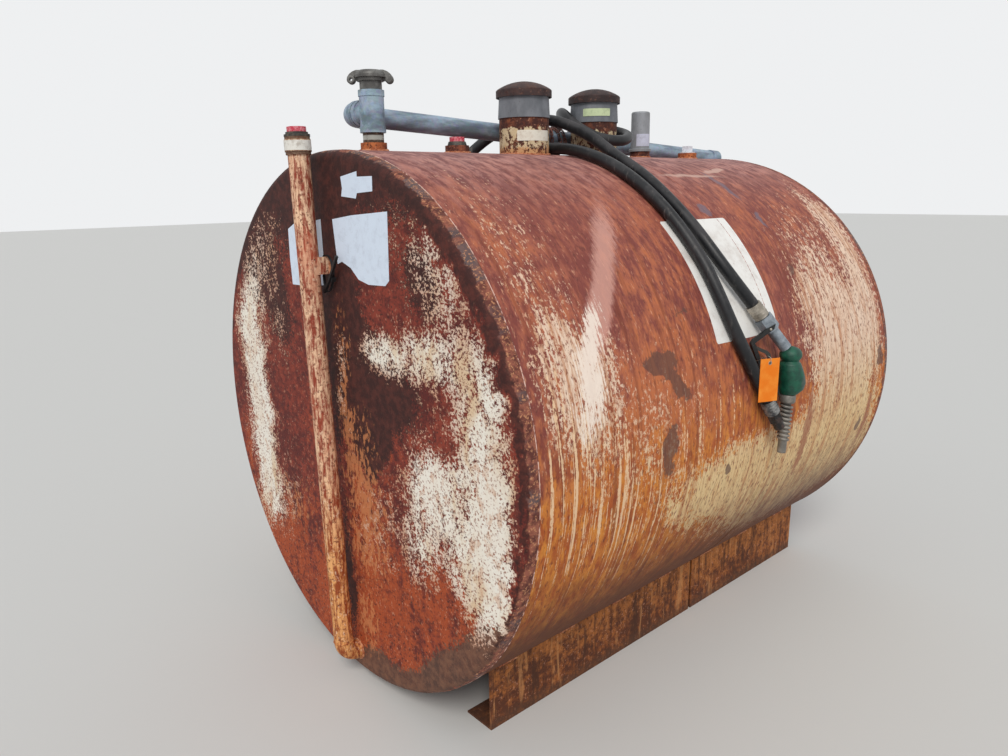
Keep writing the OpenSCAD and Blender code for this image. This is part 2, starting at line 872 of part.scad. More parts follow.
// The solid of the swivel and the bare neck behind it, from the ferrule into the body
module swivel_solid(grow) {
    along(nozzle_start + (ferrule_l - grow) * nozzle_way, nozzle_way) {
        cylinder(d = swivel_od + 2 * grow, h = swivel_l + 2 * grow, $fn = 6);
        cylinder(d = neck_od + 2 * grow, h = knob_reach - ferrule_l - knob_od / 2 + 12);
    }
}

// The solid of the nozzle's knob and of the body below it, which hangs upright beside the shell
module nozzle_solid(grow) {
    r = body_od / 2 + grow;
    translate(knob) {
        sphere(d = knob_od + 2 * grow);
        translate([0, 0, -body_l - grow])
            rotate_extrude()
                polygon([
                    [0, 0], [r - 12, 0], [r - 3, 14], [r, 34], [r - 3, 66],
                    [r - 10, body_l - 14], [r - 14, body_l + grow], [0, body_l + grow]
                ]);
    }
}

module nozzle_swivel() {
    color("#8b9096")
        difference() {
            swivel_solid(0);
            translate(knob) sphere(d = knob_od);
        }
}

module nozzle_body() {
    color("#1f5c48") nozzle_solid(0);
}

// The collar, the spring guard and the bare end of the spout, leaning towards the near head
module nozzle_spout() {
    collar_h = 24;
    color("#7c7c80")
        translate(knob - [0, 0, body_l])
            rotate([0, spout_lean, 0]) {
                difference() {
                    translate([0, 0, -collar_h]) cylinder(r = spring_od / 2 + 6, h = collar_h + 4);
                    rotate([0, -spout_lean, 0]) translate([-body_od, -body_od, 0]) cube(2 * body_od);
                }
                translate([0, 0, -spout_l + 38]) cylinder(d = spring_od, h = spout_l - 38 - collar_h);
                translate([0, 0, -spout_l])
                    difference() {
                        cylinder(d = spout_od, h = 40);
                        translate([0, 0, -1]) cylinder(d = spout_od - 5, h = 36);
                    }
            }
}

// The guard, the lever and the tag lie in planes that are turned away from the tank's axis
module on_guard() {
    translate(knob) rotate([0, 0, -guard_turn]) children();
}

// The flat bar that bows round the lever, from the swivel to the foot of the body, with the lever's pin
module nozzle_guard() {
    color("#26282a") {
        difference() {
            on_guard()
                translate([0, guard_t / 2, 0])
                    rotate([90, 0, 0])
                        linear_extrude(guard_t) {
                            polygon([
                                [-66, 101], [-140, 58], [-148, 46], [-120, -14], [-104, -46], [-34, -126],
                                [-12, -122], [-22, -114], [-92, -40], [-108, -10], [-134, 46], [-70, 85]
                            ]);
                            translate(lever_pin) circle(r = lever_pin_d + 3);
                        }
            nozzle_solid(rest_gap);
            swivel_solid(rest_gap);
        }
        on_guard()
            translate([lever_pin[0], 0, lever_pin[1]])
                rotate([-90, 0, 0]) {
                    cylinder(d = lever_pin_d, h = guard_t / 2 + lever_pin_l + 1);
                    translate([0, 0, guard_t / 2 + lever_pin_l]) cylinder(d = lever_pin_d + 4, h = 2);
                }
    }
}

// The squeeze lever, behind the guard: it turns on the guard's pin
module nozzle_lever() {
    color("#4c4f4e")
        on_guard()
            translate([0, guard_t / 2 + side_gap + lever_t, 0])
                difference() {
                    union() {
                        rotate([90, 0, 0])
                            linear_extrude(lever_t)
                                polygon([
                                    lever_pin + [-5, 4], [-68, -56], [-72, -22], [-77, -2], [-87, 8],
                                    [-105, 16], [-134, 30], [-136, 38], [-128, 38], [-101, 25], [-81, 17],
                                    [-69, 6], [-62, -20], [-58, -56], lever_pin + [5, 4]
                                ]);
                        translate([lever_pin[0], 0, lever_pin[1]])
                            rotate([90, 0, 0]) cylinder(r = lever_pin_d + 2, h = lever_t);
                    }
                    translate([lever_pin[0], 1, lever_pin[1]])
                        rotate([90, 0, 0]) cylinder(r = lever_pin_d / 2 + pin_gap, h = lever_t + 2);
                }
}

// The tag hangs in front of the hose's free end, flat against it
module tag() {
    end_across = (open_end - knob) * [cos(guard_turn), -sin(guard_turn), 0];
    end_front = (open_end - knob) * [sin(guard_turn), cos(guard_turn), 0];
    color("#e8862a")
        on_guard()
            translate([
                end_across - tag_w + 16,
                end_front - ferrule_od / 2 - 0.9 - tag_t,
                open_end[2] - knob[2] + 4
            ])
                difference() {
                    cube([tag_w, tag_t, tag_l]);
                    translate([tag_w / 2, 2 * tag_t, tag_l - 14])
                        rotate([90, 0, 0]) cylinder(r = 4, h = 4 * tag_t);
                }
}

in_place() near_head();
in_place() far_head();
in_place() near_shell_course();
in_place() far_shell_course();
in_place() hose_side_skid_near();
in_place() hose_side_skid_far();
in_place() back_skid_near();
in_place() back_skid_far();
in_place() monitor_elbow();
in_place() monitor_pipe();
in_place() monitor_bracket();
in_place() monitor_coupling();
in_place() monitor_flange();
in_place() monitor_plug();
in_place() fill_socket();
in_place() fill_nipple();
in_place() fill_tee();
in_place() fill_adapter();
in_place() fill_lid();
in_place() side_nipple();
in_place() side_elbow();
in_place() top_pipe();
in_place() top_pipe_sleeve();
in_place() small_port_socket();
in_place() small_port_bushing();
in_place() red_plug();
in_place() front_vent_riser();
in_place() front_vent_hood();
in_place() front_vent_cap();
in_place() back_vent_riser();
in_place() back_vent_hood();
in_place() back_vent_cap();
in_place() gauge_socket();
in_place() gauge_hood();
in_place() white_port_socket();
in_place() white_plug();
in_place() hose();
in_place() open_end_ferrule();
in_place() open_end_fitting();
in_place() nozzle_ferrule();
in_place() nozzle_swivel();
in_place() nozzle_body();
in_place() nozzle_spout();
in_place() nozzle_guard();
in_place() nozzle_lever();
in_place() tag();
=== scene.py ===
import math
import random

import bmesh
import bpy
from mathutils import Matrix, Vector


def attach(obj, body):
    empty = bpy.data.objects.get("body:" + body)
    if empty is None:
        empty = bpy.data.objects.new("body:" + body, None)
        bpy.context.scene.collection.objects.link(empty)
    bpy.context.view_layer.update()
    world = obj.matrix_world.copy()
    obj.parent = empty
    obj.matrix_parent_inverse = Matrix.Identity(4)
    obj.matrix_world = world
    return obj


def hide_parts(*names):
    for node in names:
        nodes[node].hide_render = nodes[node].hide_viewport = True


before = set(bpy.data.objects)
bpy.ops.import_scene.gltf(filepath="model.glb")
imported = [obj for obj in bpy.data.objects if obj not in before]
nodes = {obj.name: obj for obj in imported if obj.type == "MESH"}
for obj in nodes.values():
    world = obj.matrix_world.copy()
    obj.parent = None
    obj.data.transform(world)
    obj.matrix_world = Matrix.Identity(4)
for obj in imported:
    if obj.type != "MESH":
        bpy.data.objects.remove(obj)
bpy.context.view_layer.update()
scene = bpy.context.scene


# The view
# Eye height, on the hose side of the near head, turned a little down onto the tank.
eye = (-2.0953, -1.9725, 1.5358)
eye_turn = 0.846
eye_dip = 0.2425
eye_roll = -0.0157
camera_data = bpy.data.cameras.new("camera")
camera_data.sensor_width = 36
camera_data.lens = 27.18
camera = bpy.data.objects.new("camera", camera_data)
scene.collection.objects.link(camera)
camera.matrix_world = (
    Matrix.Translation(eye)
    @ Matrix.Rotation(eye_turn - math.pi / 2, 4, "Z")
    @ Matrix.Rotation(math.pi / 2 - eye_dip, 4, "X")
    @ Matrix.Rotation(eye_roll, 4, "Z")
)
scene.camera = camera
scene.view_settings.view_transform = "Standard"


# The hose
# One length of 38 mm black rubber fuel hose with a smooth cover, thrown loosely over the
# tank's crown. Both ends hang on the hose side, and its loops lie behind the crown.
shell_r = 0.813
axis_z = 0.838
near_face_x = -1.00591
far_face_x = 0.92409
hose_r = 0.019
hose_seat = 0.022
hose_route = [
    (0.985, 155.5, 0.008), (0.926, 148, 0.008), (0.903, 135, 0), (0.912, 120, 0),
    (0.943, 107, 0.01), (0.95, 97, 0.055), (0.928, 88, 0.099), (0.882, 80, 0.111),
    (0.835, 73.5, 0.088), (0.77, 66.5, 0.041), (0.698, 58, 0.007), (0.766, 43, 0.002),
    (0.965, 37, 0), (1.163, 42.5, 0), (1.243, 55, 0.005), (1.237, 70.5, 0.068),
    (1.216, 80, 0.101), (1.221, 85.5, 0.087), (1.234, 90.5, 0.069), (1.2, 96, 0.051),
    (1.114, 98.5, 0.036), (1.032, 96, 0.043), (1, 91, 0.083), (1.012, 87.5, 0.119),
    (1.044, 84.5, 0.138), (1.092, 81.5, 0.132), (1.125, 77, 0.106), (1.137, 70, 0.055),
    (1.13, 58, 0.007), (1.089, 51, 0), (0.99, 48, 0), (0.891, 51, 0),
    (0.851, 62, 0), (0.857, 76, 0), (0.872, 89.5, 0), (0.858, 105, 0),
    (0.838, 123, 0), (0.839, 143, 0), (0.87, 161, 0.001), (0.98, 175.5, 0.005),
]


def hose_point(from_head, angle, height):
    """A point of the hose's middle line: along the tank, round it, and above its seat."""
    reach = shell_r + hose_seat + height
    turn = math.radians(angle)
    up = axis_z + reach * math.sin(turn)
    return Vector((from_head + near_face_x, reach * math.cos(turn), up))


def smooth_line(points, step):
    """The points of one smooth curve through the given ones, about a step apart."""
    gaps = [(b - a).length for a, b in zip(points, points[1:])]
    slopes = [(b - a).normalized() for a, b in zip(points, points[1:])]
    headings = [slopes[0]]
    for i in range(1, len(points) - 1):
        headings.append((slopes[i] * gaps[i - 1] + slopes[i - 1] * gaps[i]).normalized())
    headings.append(slopes[-1])
    line = []
    for i, gap in enumerate(gaps):
        count = math.ceil(gap / step)
        for k in range(count):
            t = k / count
            line.append(
                points[i] * (2 * t**3 - 3 * t**2 + 1)
                + headings[i] * (gap * (t**3 - 2 * t**2 + t))
                + points[i + 1] * (3 * t**2 - 2 * t**3)
                + headings[i + 1] * (gap * (t**3 - t**2))
            )
    line.append(points[-1])
    return line


def round_bar(name, line, radius, swell=None, closed=False, sides=3):
    """A round bar, wire or bead along a line of points, as one smooth curve object."""
    data = bpy.data.curves.new(name, "CURVE")
    data.dimensions = "3D"
    # A swelling bar takes its radius from its points, so that its box comes out true
    data.bevel_depth = 1.0 if swell else radius
    data.bevel_resolution = sides
    data.use_fill_caps = not closed
    spline = data.splines.new("POLY")
    spline.points.add(len(line) - 1)
    for i, point in enumerate(line):
        spline.points[i].co = (*point, 1.0)
        spline.points[i].radius = radius * swell[i] if swell else 1.0
    spline.use_cyclic_u = closed
    spline.use_smooth = True
    bar = bpy.data.objects.new(name, data)
    scene.collection.objects.link(bar)
    return bar


def tint(red, green, blue):
    """A colour as the eye reads it, each part 0 to 255, in the shader's linear values."""
    parts = []
    for part in (red, green, blue):
        share = part / 255
        parts.append(share / 12.92 if share < 0.04045 else ((share + 0.055) / 1.055) ** 2.4)
    return (*parts, 1.0)


class Nodes:
    """A cleared node tree, and short calls that add to it."""

    def __init__(self, tree):
        self.tree = tree
        tree.nodes.clear()

    def add(self, kind, inputs=None, **settings):
        """Adds a node and sets it, its inputs given by name or number."""
        node = self.tree.nodes.new(kind)
        for name, value in settings.items():
            setattr(node, name, value)
        for key, value in (inputs or {}).items():
            self.feed(node.inputs[key], value)
        return node

    def feed(self, socket, value):
        """Joins an output to a socket, or sets it to a value or to a colour of three parts."""
        if isinstance(value, bpy.types.NodeSocket):
            self.tree.links.new(value, socket)
        elif socket.type == "RGBA" and len(value) == 3:
            socket.default_value = tint(*value)
        else:
            socket.default_value = value

    def sum(self, operation, *values, clamp=False):
        inputs = dict(enumerate(values))
        return self.add("ShaderNodeMath", inputs, operation=operation, use_clamp=clamp).outputs[0]


class Finish(Nodes):
    """One procedural finish: its material, and short calls for the steps that paint it."""

    def __init__(self, name, metal=0.0, gloss=0.5):
        self.material = bpy.data.materials.new(name)
        self.material.use_nodes = True
        super().__init__(self.material.node_tree)
        sheen = {"Metallic": metal, "Specular IOR Level": gloss}
        self.shader = self.add("ShaderNodeBsdfPrincipled", sheen)
        self.add("ShaderNodeOutputMaterial", {0: self.shader.outputs[0]})
        self.place = self.add("ShaderNodeTexCoord").outputs["Object"]

    def scaled(self, value, factor, plus=0.0, clamp=False):
        return self.sum("MULTIPLY_ADD", value, factor, plus, clamp=clamp)

    def split(self, place):
        return self.add("ShaderNodeSeparateXYZ", {0: place}).outputs

    def join(self, x, y, z):
        return self.add("ShaderNodeCombineXYZ", {0: x, 1: y, 2: z}).outputs[0]

    def stretch(self, place, scale, shift=(0, 0, 0)):
        inputs = {"Vector": place, "Location": shift, "Scale": scale}
        return self.add("ShaderNodeMapping", inputs).outputs[0]

    def noise(self, place, scale, detail=4.0, rough=0.55, warp=0.0, output="Fac"):
        inputs = {"Vector": place, "Scale": scale, "Detail": detail, "Roughness": rough}
        inputs["Distortion"] = warp
        return self.add("ShaderNodeTexNoise", inputs).outputs[output]

    def cells(self, place, scale, feature="F1", output="Distance"):
        inputs = {"Vector": place, "Scale": scale}
        return self.add("ShaderNodeTexVoronoi", inputs, feature=feature).outputs[output]

    def drift(self, place, amount, scale, detail=3.0):
        """The place pushed about by soft noise, so that what is drawn there gets a ragged edge."""
        cloud = self.noise(place, scale, detail, 0.6, output="Color")
        push = self.add("ShaderNodeVectorMath", {0: cloud, 1: (0.5,) * 3}, operation="SUBTRACT")
        inputs = {0: push.outputs[0], 1: (amount,) * 3, 2: place}
        return self.add("ShaderNodeVectorMath", inputs, operation="MULTIPLY_ADD").outputs[0]

    def ease(self, value, low, high, start=0.0, end=1.0):
        """Goes smoothly from start to end as the value goes from low to high."""
        inputs = dict(enumerate((value, low, high, start, end)))
        settings = {"interpolation_type": "SMOOTHSTEP", "clamp": True}
        return self.add("ShaderNodeMapRange", inputs, **settings).outputs[0]

    def mix(self, share, first, second, blend="MIX"):
        inputs = {0: share, 6: first, 7: second}
        settings = {"data_type": "RGBA", "blend_type": blend, "clamp_factor": True}
        return self.add("ShaderNodeMix", inputs, **settings).outputs[2]

    def tinge(self, base, tone, value, low, high, most=1.0):
        """Takes the base towards a tone as the value goes from low to high."""
        return self.mix(self.ease(value, low, high, 0.0, most), base, tone)

    def coat(self, base, tone, share, most):
        """Lays a tone over the base by its share from 0 to 1, times the most it may reach."""
        return self.mix(self.scaled(share, most), base, tone)

    def patches(self, place, spots):
        """The sum of oval patches, each falling evenly from its strength to 0 at its edge.

        A spot is its centre, its half width and height, its strength, and its turn if any.
        """
        total = 0.0
        for across, up, wide, tall, strength, *turn in spots:
            inputs = {"Vector": place, "Location": (across, up, 0), "Scale": (wide, tall, 1)}
            inputs["Rotation"] = (0, 0, math.radians(sum(turn)))
            oval = self.add("ShaderNodeMapping", inputs, vector_type="TEXTURE").outputs[0]
            fall = self.add("ShaderNodeTexGradient", {0: oval}, gradient_type="SPHERICAL")
            total = self.scaled(fall.outputs["Fac"], strength, total)
        return total

    def crumble(self, place, scale, detail=4.0, rough=0.75):
        """A fine broken-up value from 0 to 1, to compare with how much paint is left."""
        return self.ease(self.noise(place, scale, detail, rough), 0.34, 0.66)

    def flaked(self, left, broken, softness=0.1):
        """1 where paint is left: left says how much there is, and broken says where it flakes."""
        return self.ease(self.sum("SUBTRACT", left, broken), 0.0, softness)

    def bump(self, height, strength, depth, under=None):
        inputs = {"Strength": strength, "Distance": depth, "Height": height}
        if under:
            inputs["Normal"] = under
        return self.add("ShaderNodeBump", inputs).outputs[0]

    def lay(self, colour, rough, normal=None):
        """Sends the finished colour, roughness and bump to the shader."""
        self.feed(self.shader.inputs["Base Color"], colour)
        self.feed(self.shader.inputs["Roughness"], rough)
        if normal:
            self.feed(self.shader.inputs["Normal"], normal)
        return self.material


def put_on(material, *pieces):
    """Gives pieces their finish. A CAD node is given by its name."""
    for piece in pieces:
        piece = nodes[piece] if isinstance(piece, str) else piece
        if not piece.material_slots:
            piece.data.materials.append(material)
        piece.material_slots[0].material = material


def rubber_finish():
    rubber = Finish("dusty_hose_rubber", gloss=0.4)
    fine = rubber.noise(rubber.place, 420, 4, 0.6)
    dust = rubber.ease(rubber.noise(rubber.place, 9, 6, 0.65), 0.44, 0.72)
    long_clouds = rubber.noise(rubber.stretch(rubber.place, (40, 40, 7)), 1.6, 5, 0.7)
    scuff = rubber.ease(long_clouds, 0.56, 0.74)
    facing_up = rubber.split(rubber.add("ShaderNodeNewGeometry").outputs["Normal"])[2]
    upward = rubber.ease(facing_up, 0.0, 1.0)
    settled = rubber.scaled(dust, rubber.scaled(upward, 0.6, 0.25), clamp=True)
    colour = rubber.mix(settled, (24, 25, 28), (82, 80, 82))
    colour = rubber.coat(colour, (112, 106, 102), scuff, 0.5)
    rough = rubber.ease(settled, 0.0, 0.7, 0.42, 0.8)
    return rubber.lay(colour, rough, rubber.bump(fine, 0.25, 0.0004))


hose_corners = [hose_point(*corner) for corner in hose_route]
hose = round_bar("hose_cover", smooth_line(hose_corners, 0.012), hose_r, sides=8)
put_on(rubber_finish(), hose)
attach(hose, "tank")
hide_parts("hose")


# The heads
# Flat steel discs with a rolled knuckle at the rim. Old cream paint is left in ragged
# patches over red-brown rust, dark where water ran from the top, orange near the ground.
def rust_colours(finish, flat, warm, maroon, brown, orange, flecks=0.5, pits=0.85):
    """Rust in three tones with dark pits and pale flecks. Warm takes it towards orange."""
    broad = finish.noise(flat, 4, 6, 0.62)
    close = finish.noise(flat, 40, 4, 0.66)
    speck = finish.noise(flat, 125, 2, 0.6)
    shade = finish.scaled(broad, 0.45, finish.scaled(close, 0.55))
    colour = finish.tinge(maroon, brown, shade, 0.42, 0.58)
    lean = finish.sum("ADD", warm, finish.scaled(shade, 3.6, -1.8))
    colour = finish.tinge(colour, orange, lean, 0.1, 0.9)
    colour = finish.tinge(colour, (58, 28, 24), speck, 0.46, 0.3, pits)
    pale = finish.noise(finish.stretch(flat, (1, 0.7, 1), shift=(3, 1, 2)), 115, 2, 0.6)
    colour = finish.tinge(colour, (222, 160, 128), pale, 0.6, 0.74, flecks)
    return colour, close, speck


def head_finish(name, far=False):
    head = Finish(name, gloss=0.35)
    x, y, z = head.split(head.place)
    side = head.scaled(y, -1.0 if far else 1.0)
    flat = head.join(side, z, x)
    loose = head.drift(head.join(side, z, 0.0), 0.13, 6, 5)
    up = head.sum("SUBTRACT", z, axis_z)
    rim = head.sum("SQRT", head.sum("ADD", head.scaled(y, y), head.scaled(up, up)))
    fine = head.crumble(flat, 120, 3.5, 0.72)
    mid = head.crumble(head.stretch(flat, (1, 0.6, 1)), 26, 4, 0.68)
    broken = head.scaled(fine, 0.66, head.scaled(mid, 0.34))
    fall = head.noise(head.stretch(flat, (11, 1.4, 1)), 1.6, 5, 0.62)
    low_warmth = head.ease(z, 0.85, 0.25, 0.0, 0.6)
    height_warmth = head.sum("ADD", low_warmth, head.ease(z, 0.85, 1.25, 0.0, -0.55))
    warm = head.sum("ADD", height_warmth, head.patches(loose, [
        (-0.13, 0.6, 0.16, 0.34, 0.6), (-0.48, 0.44, 0.26, 0.16, 0.4),
        (0.45, 0.4, 0.24, 0.26, 0.4), (0.1, 0.25, 0.2, 0.2, 0.35),
    ]))
    warm = head.scaled(head.sum("SUBTRACT", fall, 0.5), 2.2, warm)
    colour, close, speck = rust_colours(
        head, flat, warm, (94, 34, 29), (140, 58, 42), (170, 76, 38), 0.5
    )
    dark = head.patches(loose, [
        (0.00, 1.35, 0.17, 0.42, 2.2), (-0.12, 1.00, 0.15, 0.34, 2.2),
        (-0.26, 1.00, 0.22, 0.21, 1.9), (-0.17, 0.86, 0.12, 0.18, 1.6),
        (0.00, 1.6, 0.9, 0.2, 1.6), (0.47, 1.25, 0.3, 0.17, 1.2, 30),
        (0.33, 1.1, 0.14, 0.28, 0.8), (0.02, 0.95, 0.07, 0.5, 1.0),
        (0.01, 0.33, 0.055, 0.3, 1.5), (-0.45, 1.31, 0.08, 0.12, 1.0),
        (-0.57, 1.08, 0.07, 0.07, 1.1), (0.2, 1.42, 0.5, 0.16, 0.7, 10),
        (-0.42, 1.36, 0.34, 0.26, 0.75, 30), (0.45, 1.36, 0.3, 0.24, 0.8, -20),
    ])
    film = head.flaked(head.scaled(dark, 0.8), head.scaled(broken, 0.7, 0.1), 0.2)
    film_tone = head.tinge((50, 22, 19), (76, 36, 30), close, 0.4, 0.64)
    colour = head.coat(colour, film_tone, film, 0.94)
    foot = head.patches(loose, [
        (-0.56, 0.28, 0.46, 0.13, 1.9, -42), (-0.16, 0.09, 0.42, 0.08, 1.5, -8),
        (-0.72, 0.42, 0.1, 0.22, 1.2, 20),
    ])
    foot_film = head.flaked(foot, head.scaled(broken, 0.7, 0.1), 0.2)
    foot_tone = head.tinge((84, 60, 50), (116, 84, 66), close, 0.36, 0.64)
    colour = head.coat(colour, foot_tone, foot_film, 0.9)
    left_sum = head.patches(loose, [
        (0.6, 0.77, 0.19, 0.54, 1.35, 4), (0.56, 0.72, 0.1, 0.34, 0.7, 4),
        (0.62, 1.09, 0.18, 0.3, 1.00), (0.48, 1.31, 0.28, 0.22, 0.95, 25),
        (0.53, 0.42, 0.18, 0.3, 0.9, 14), (0.38, 0.55, 0.2, 0.42, 0.55),
        (0.37, 1.07, 0.16, 0.2, 0.65), (0.34, 1.45, 0.26, 0.16, 0.55, 15),
        (-0.46, 0.79, 0.34, 0.32, 0.8), (-0.69, 0.79, 0.2, 0.52, 0.9, 4),
        (-0.45, 0.8, 0.16, 0.16, 0.6), (-0.7, 0.72, 0.1, 0.26, 0.6),
        (-0.4, 0.59, 0.28, 0.26, 0.75), (-0.57, 1.26, 0.24, 0.36, 0.68, 20),
        (-0.44, 1.45, 0.32, 0.22, 0.5, 30), (-0.3, 1.11, 0.36, 0.11, 0.8, -3),
        (-0.47, 1.1, 0.24, 0.18, 0.4), (-0.69, 1.05, 0.18, 0.32, 0.7, 10),
        (-0.21, 1.09, 0.15, 0.11, 0.55),
        (-0.66, 0.53, 0.18, 0.26, 0.8, 10), (-0.13, 0.62, 0.15, 0.34, 0.62),
        (-0.02, 0.95, 0.06, 0.36, 0.75), (-0.3, 1.36, 0.4, 0.34, 0.42),
        (0.2, 0.8, 0.36, 0.7, 0.3), (-0.2, 0.4, 0.5, 0.34, 0.34),
        (0.1, 1.2, 0.2, 0.4, 0.25),
    ])
    edge = head.ease(head.scaled(up, 0.035, head.scaled(mid, 0.03, rim)), 0.822, 0.792)
    left_paint = head.scaled(head.ease(left_sum, 0.0, 1.65, 0.0, 0.96), edge)
    paint = head.flaked(left_paint, head.scaled(broken, 0.9, 0.06), 0.13)
    tan = head.patches(loose, [
        (-0.11, 0.62, 0.17, 0.4, 1.1), (-0.03, 0.98, 0.06, 0.36, 0.9),
        (-0.08, 0.22, 0.1, 0.16, 1.0), (0.36, 0.5, 0.2, 0.2, 0.6),
    ])
    tan_flakes = head.crumble(head.stretch(flat, (1.3, 0.6, 1)), 60, 3, 0.65)
    tan_share = head.flaked(tan, head.scaled(tan_flakes, 0.9, 0.1), 0.3)
    colour = head.coat(colour, (206, 132, 84), tan_share, 0.7)
    stain = head.noise(head.stretch(loose, (7, 2.0, 1)), 2.0, 6, 0.65)
    cream = head.tinge((252, 246, 232), (232, 204, 168), stain, 0.42, 0.66)
    core = head.patches(loose, [
        (0.6, 0.77, 0.17, 0.46, 1.4, 4), (-0.44, 0.78, 0.16, 0.2, 1.2),
        (-0.69, 0.76, 0.11, 0.34, 1.2, 4), (-0.58, 1.26, 0.08, 0.12, 0.8),
    ])
    cream = head.tinge(cream, (252, 246, 234), core, 0.2, 0.9, 0.75)
    cream = head.tinge(cream, (208, 152, 120), left_paint, 0.8, 0.3, 0.85)
    cream = head.tinge(cream, (150, 88, 62), speck, 0.47, 0.33, 0.9)
    cream = head.tinge(cream, (214, 164, 128), mid, 0.62, 0.95, 0.5)
    colour = head.coat(colour, cream, paint, 0.95)
    colour = head.tinge(colour, film_tone, edge, 0.6, 0.1, 0.88)
    face_x = far_face_x if far else near_face_x
    depth = head.sum("ABSOLUTE", head.sum("SUBTRACT", x, face_x))
    # The rolled knuckle: partly its own rust, partly a painted highlight, lighter grey-brown with
    # pale flecks where the rim catches the light.
    roll = head.ease(head.scaled(mid, 0.01, depth), 0.014, 0.02)
    roll_rust_and_highlight = head.tinge((100, 52, 44), (160, 96, 76), close, 0.4, 0.6)
    roll_rust_and_highlight = head.tinge(roll_rust_and_highlight, (96, 88, 90), stain, 0.48, 0.58, 0.8)
    roll_rust_and_highlight = head.tinge(roll_rust_and_highlight, (214, 152, 110), fine, 0.72, 0.95, 0.8)
    colour = head.coat(colour, roll_rust_and_highlight, roll, 0.85)
    scratch = head.cells(head.drift(flat, 0.05, 9, 2), 5.5, "DISTANCE_TO_EDGE")
    scratch = head.scaled(head.ease(scratch, 0.01, 0.002), head.ease(mid, 0.4, 0.8))
    colour = head.coat(colour, (72, 38, 30), scratch, 0.5)
    relief = head.scaled(paint, 0.6, head.scaled(fine, 0.5))
    low_relief = head.bump(head.noise(flat, 3.2, 3, 0.5), 0.35, 0.012)
    rough = head.ease(paint, 0, 1, 0.74, 0.52)
    return head.lay(colour, rough, head.bump(relief, 0.5, 0.0014, low_relief))


put_on(head_finish("worn_near_head"), "near_head")
put_on(head_finish("worn_far_head", far=True), "far_head")
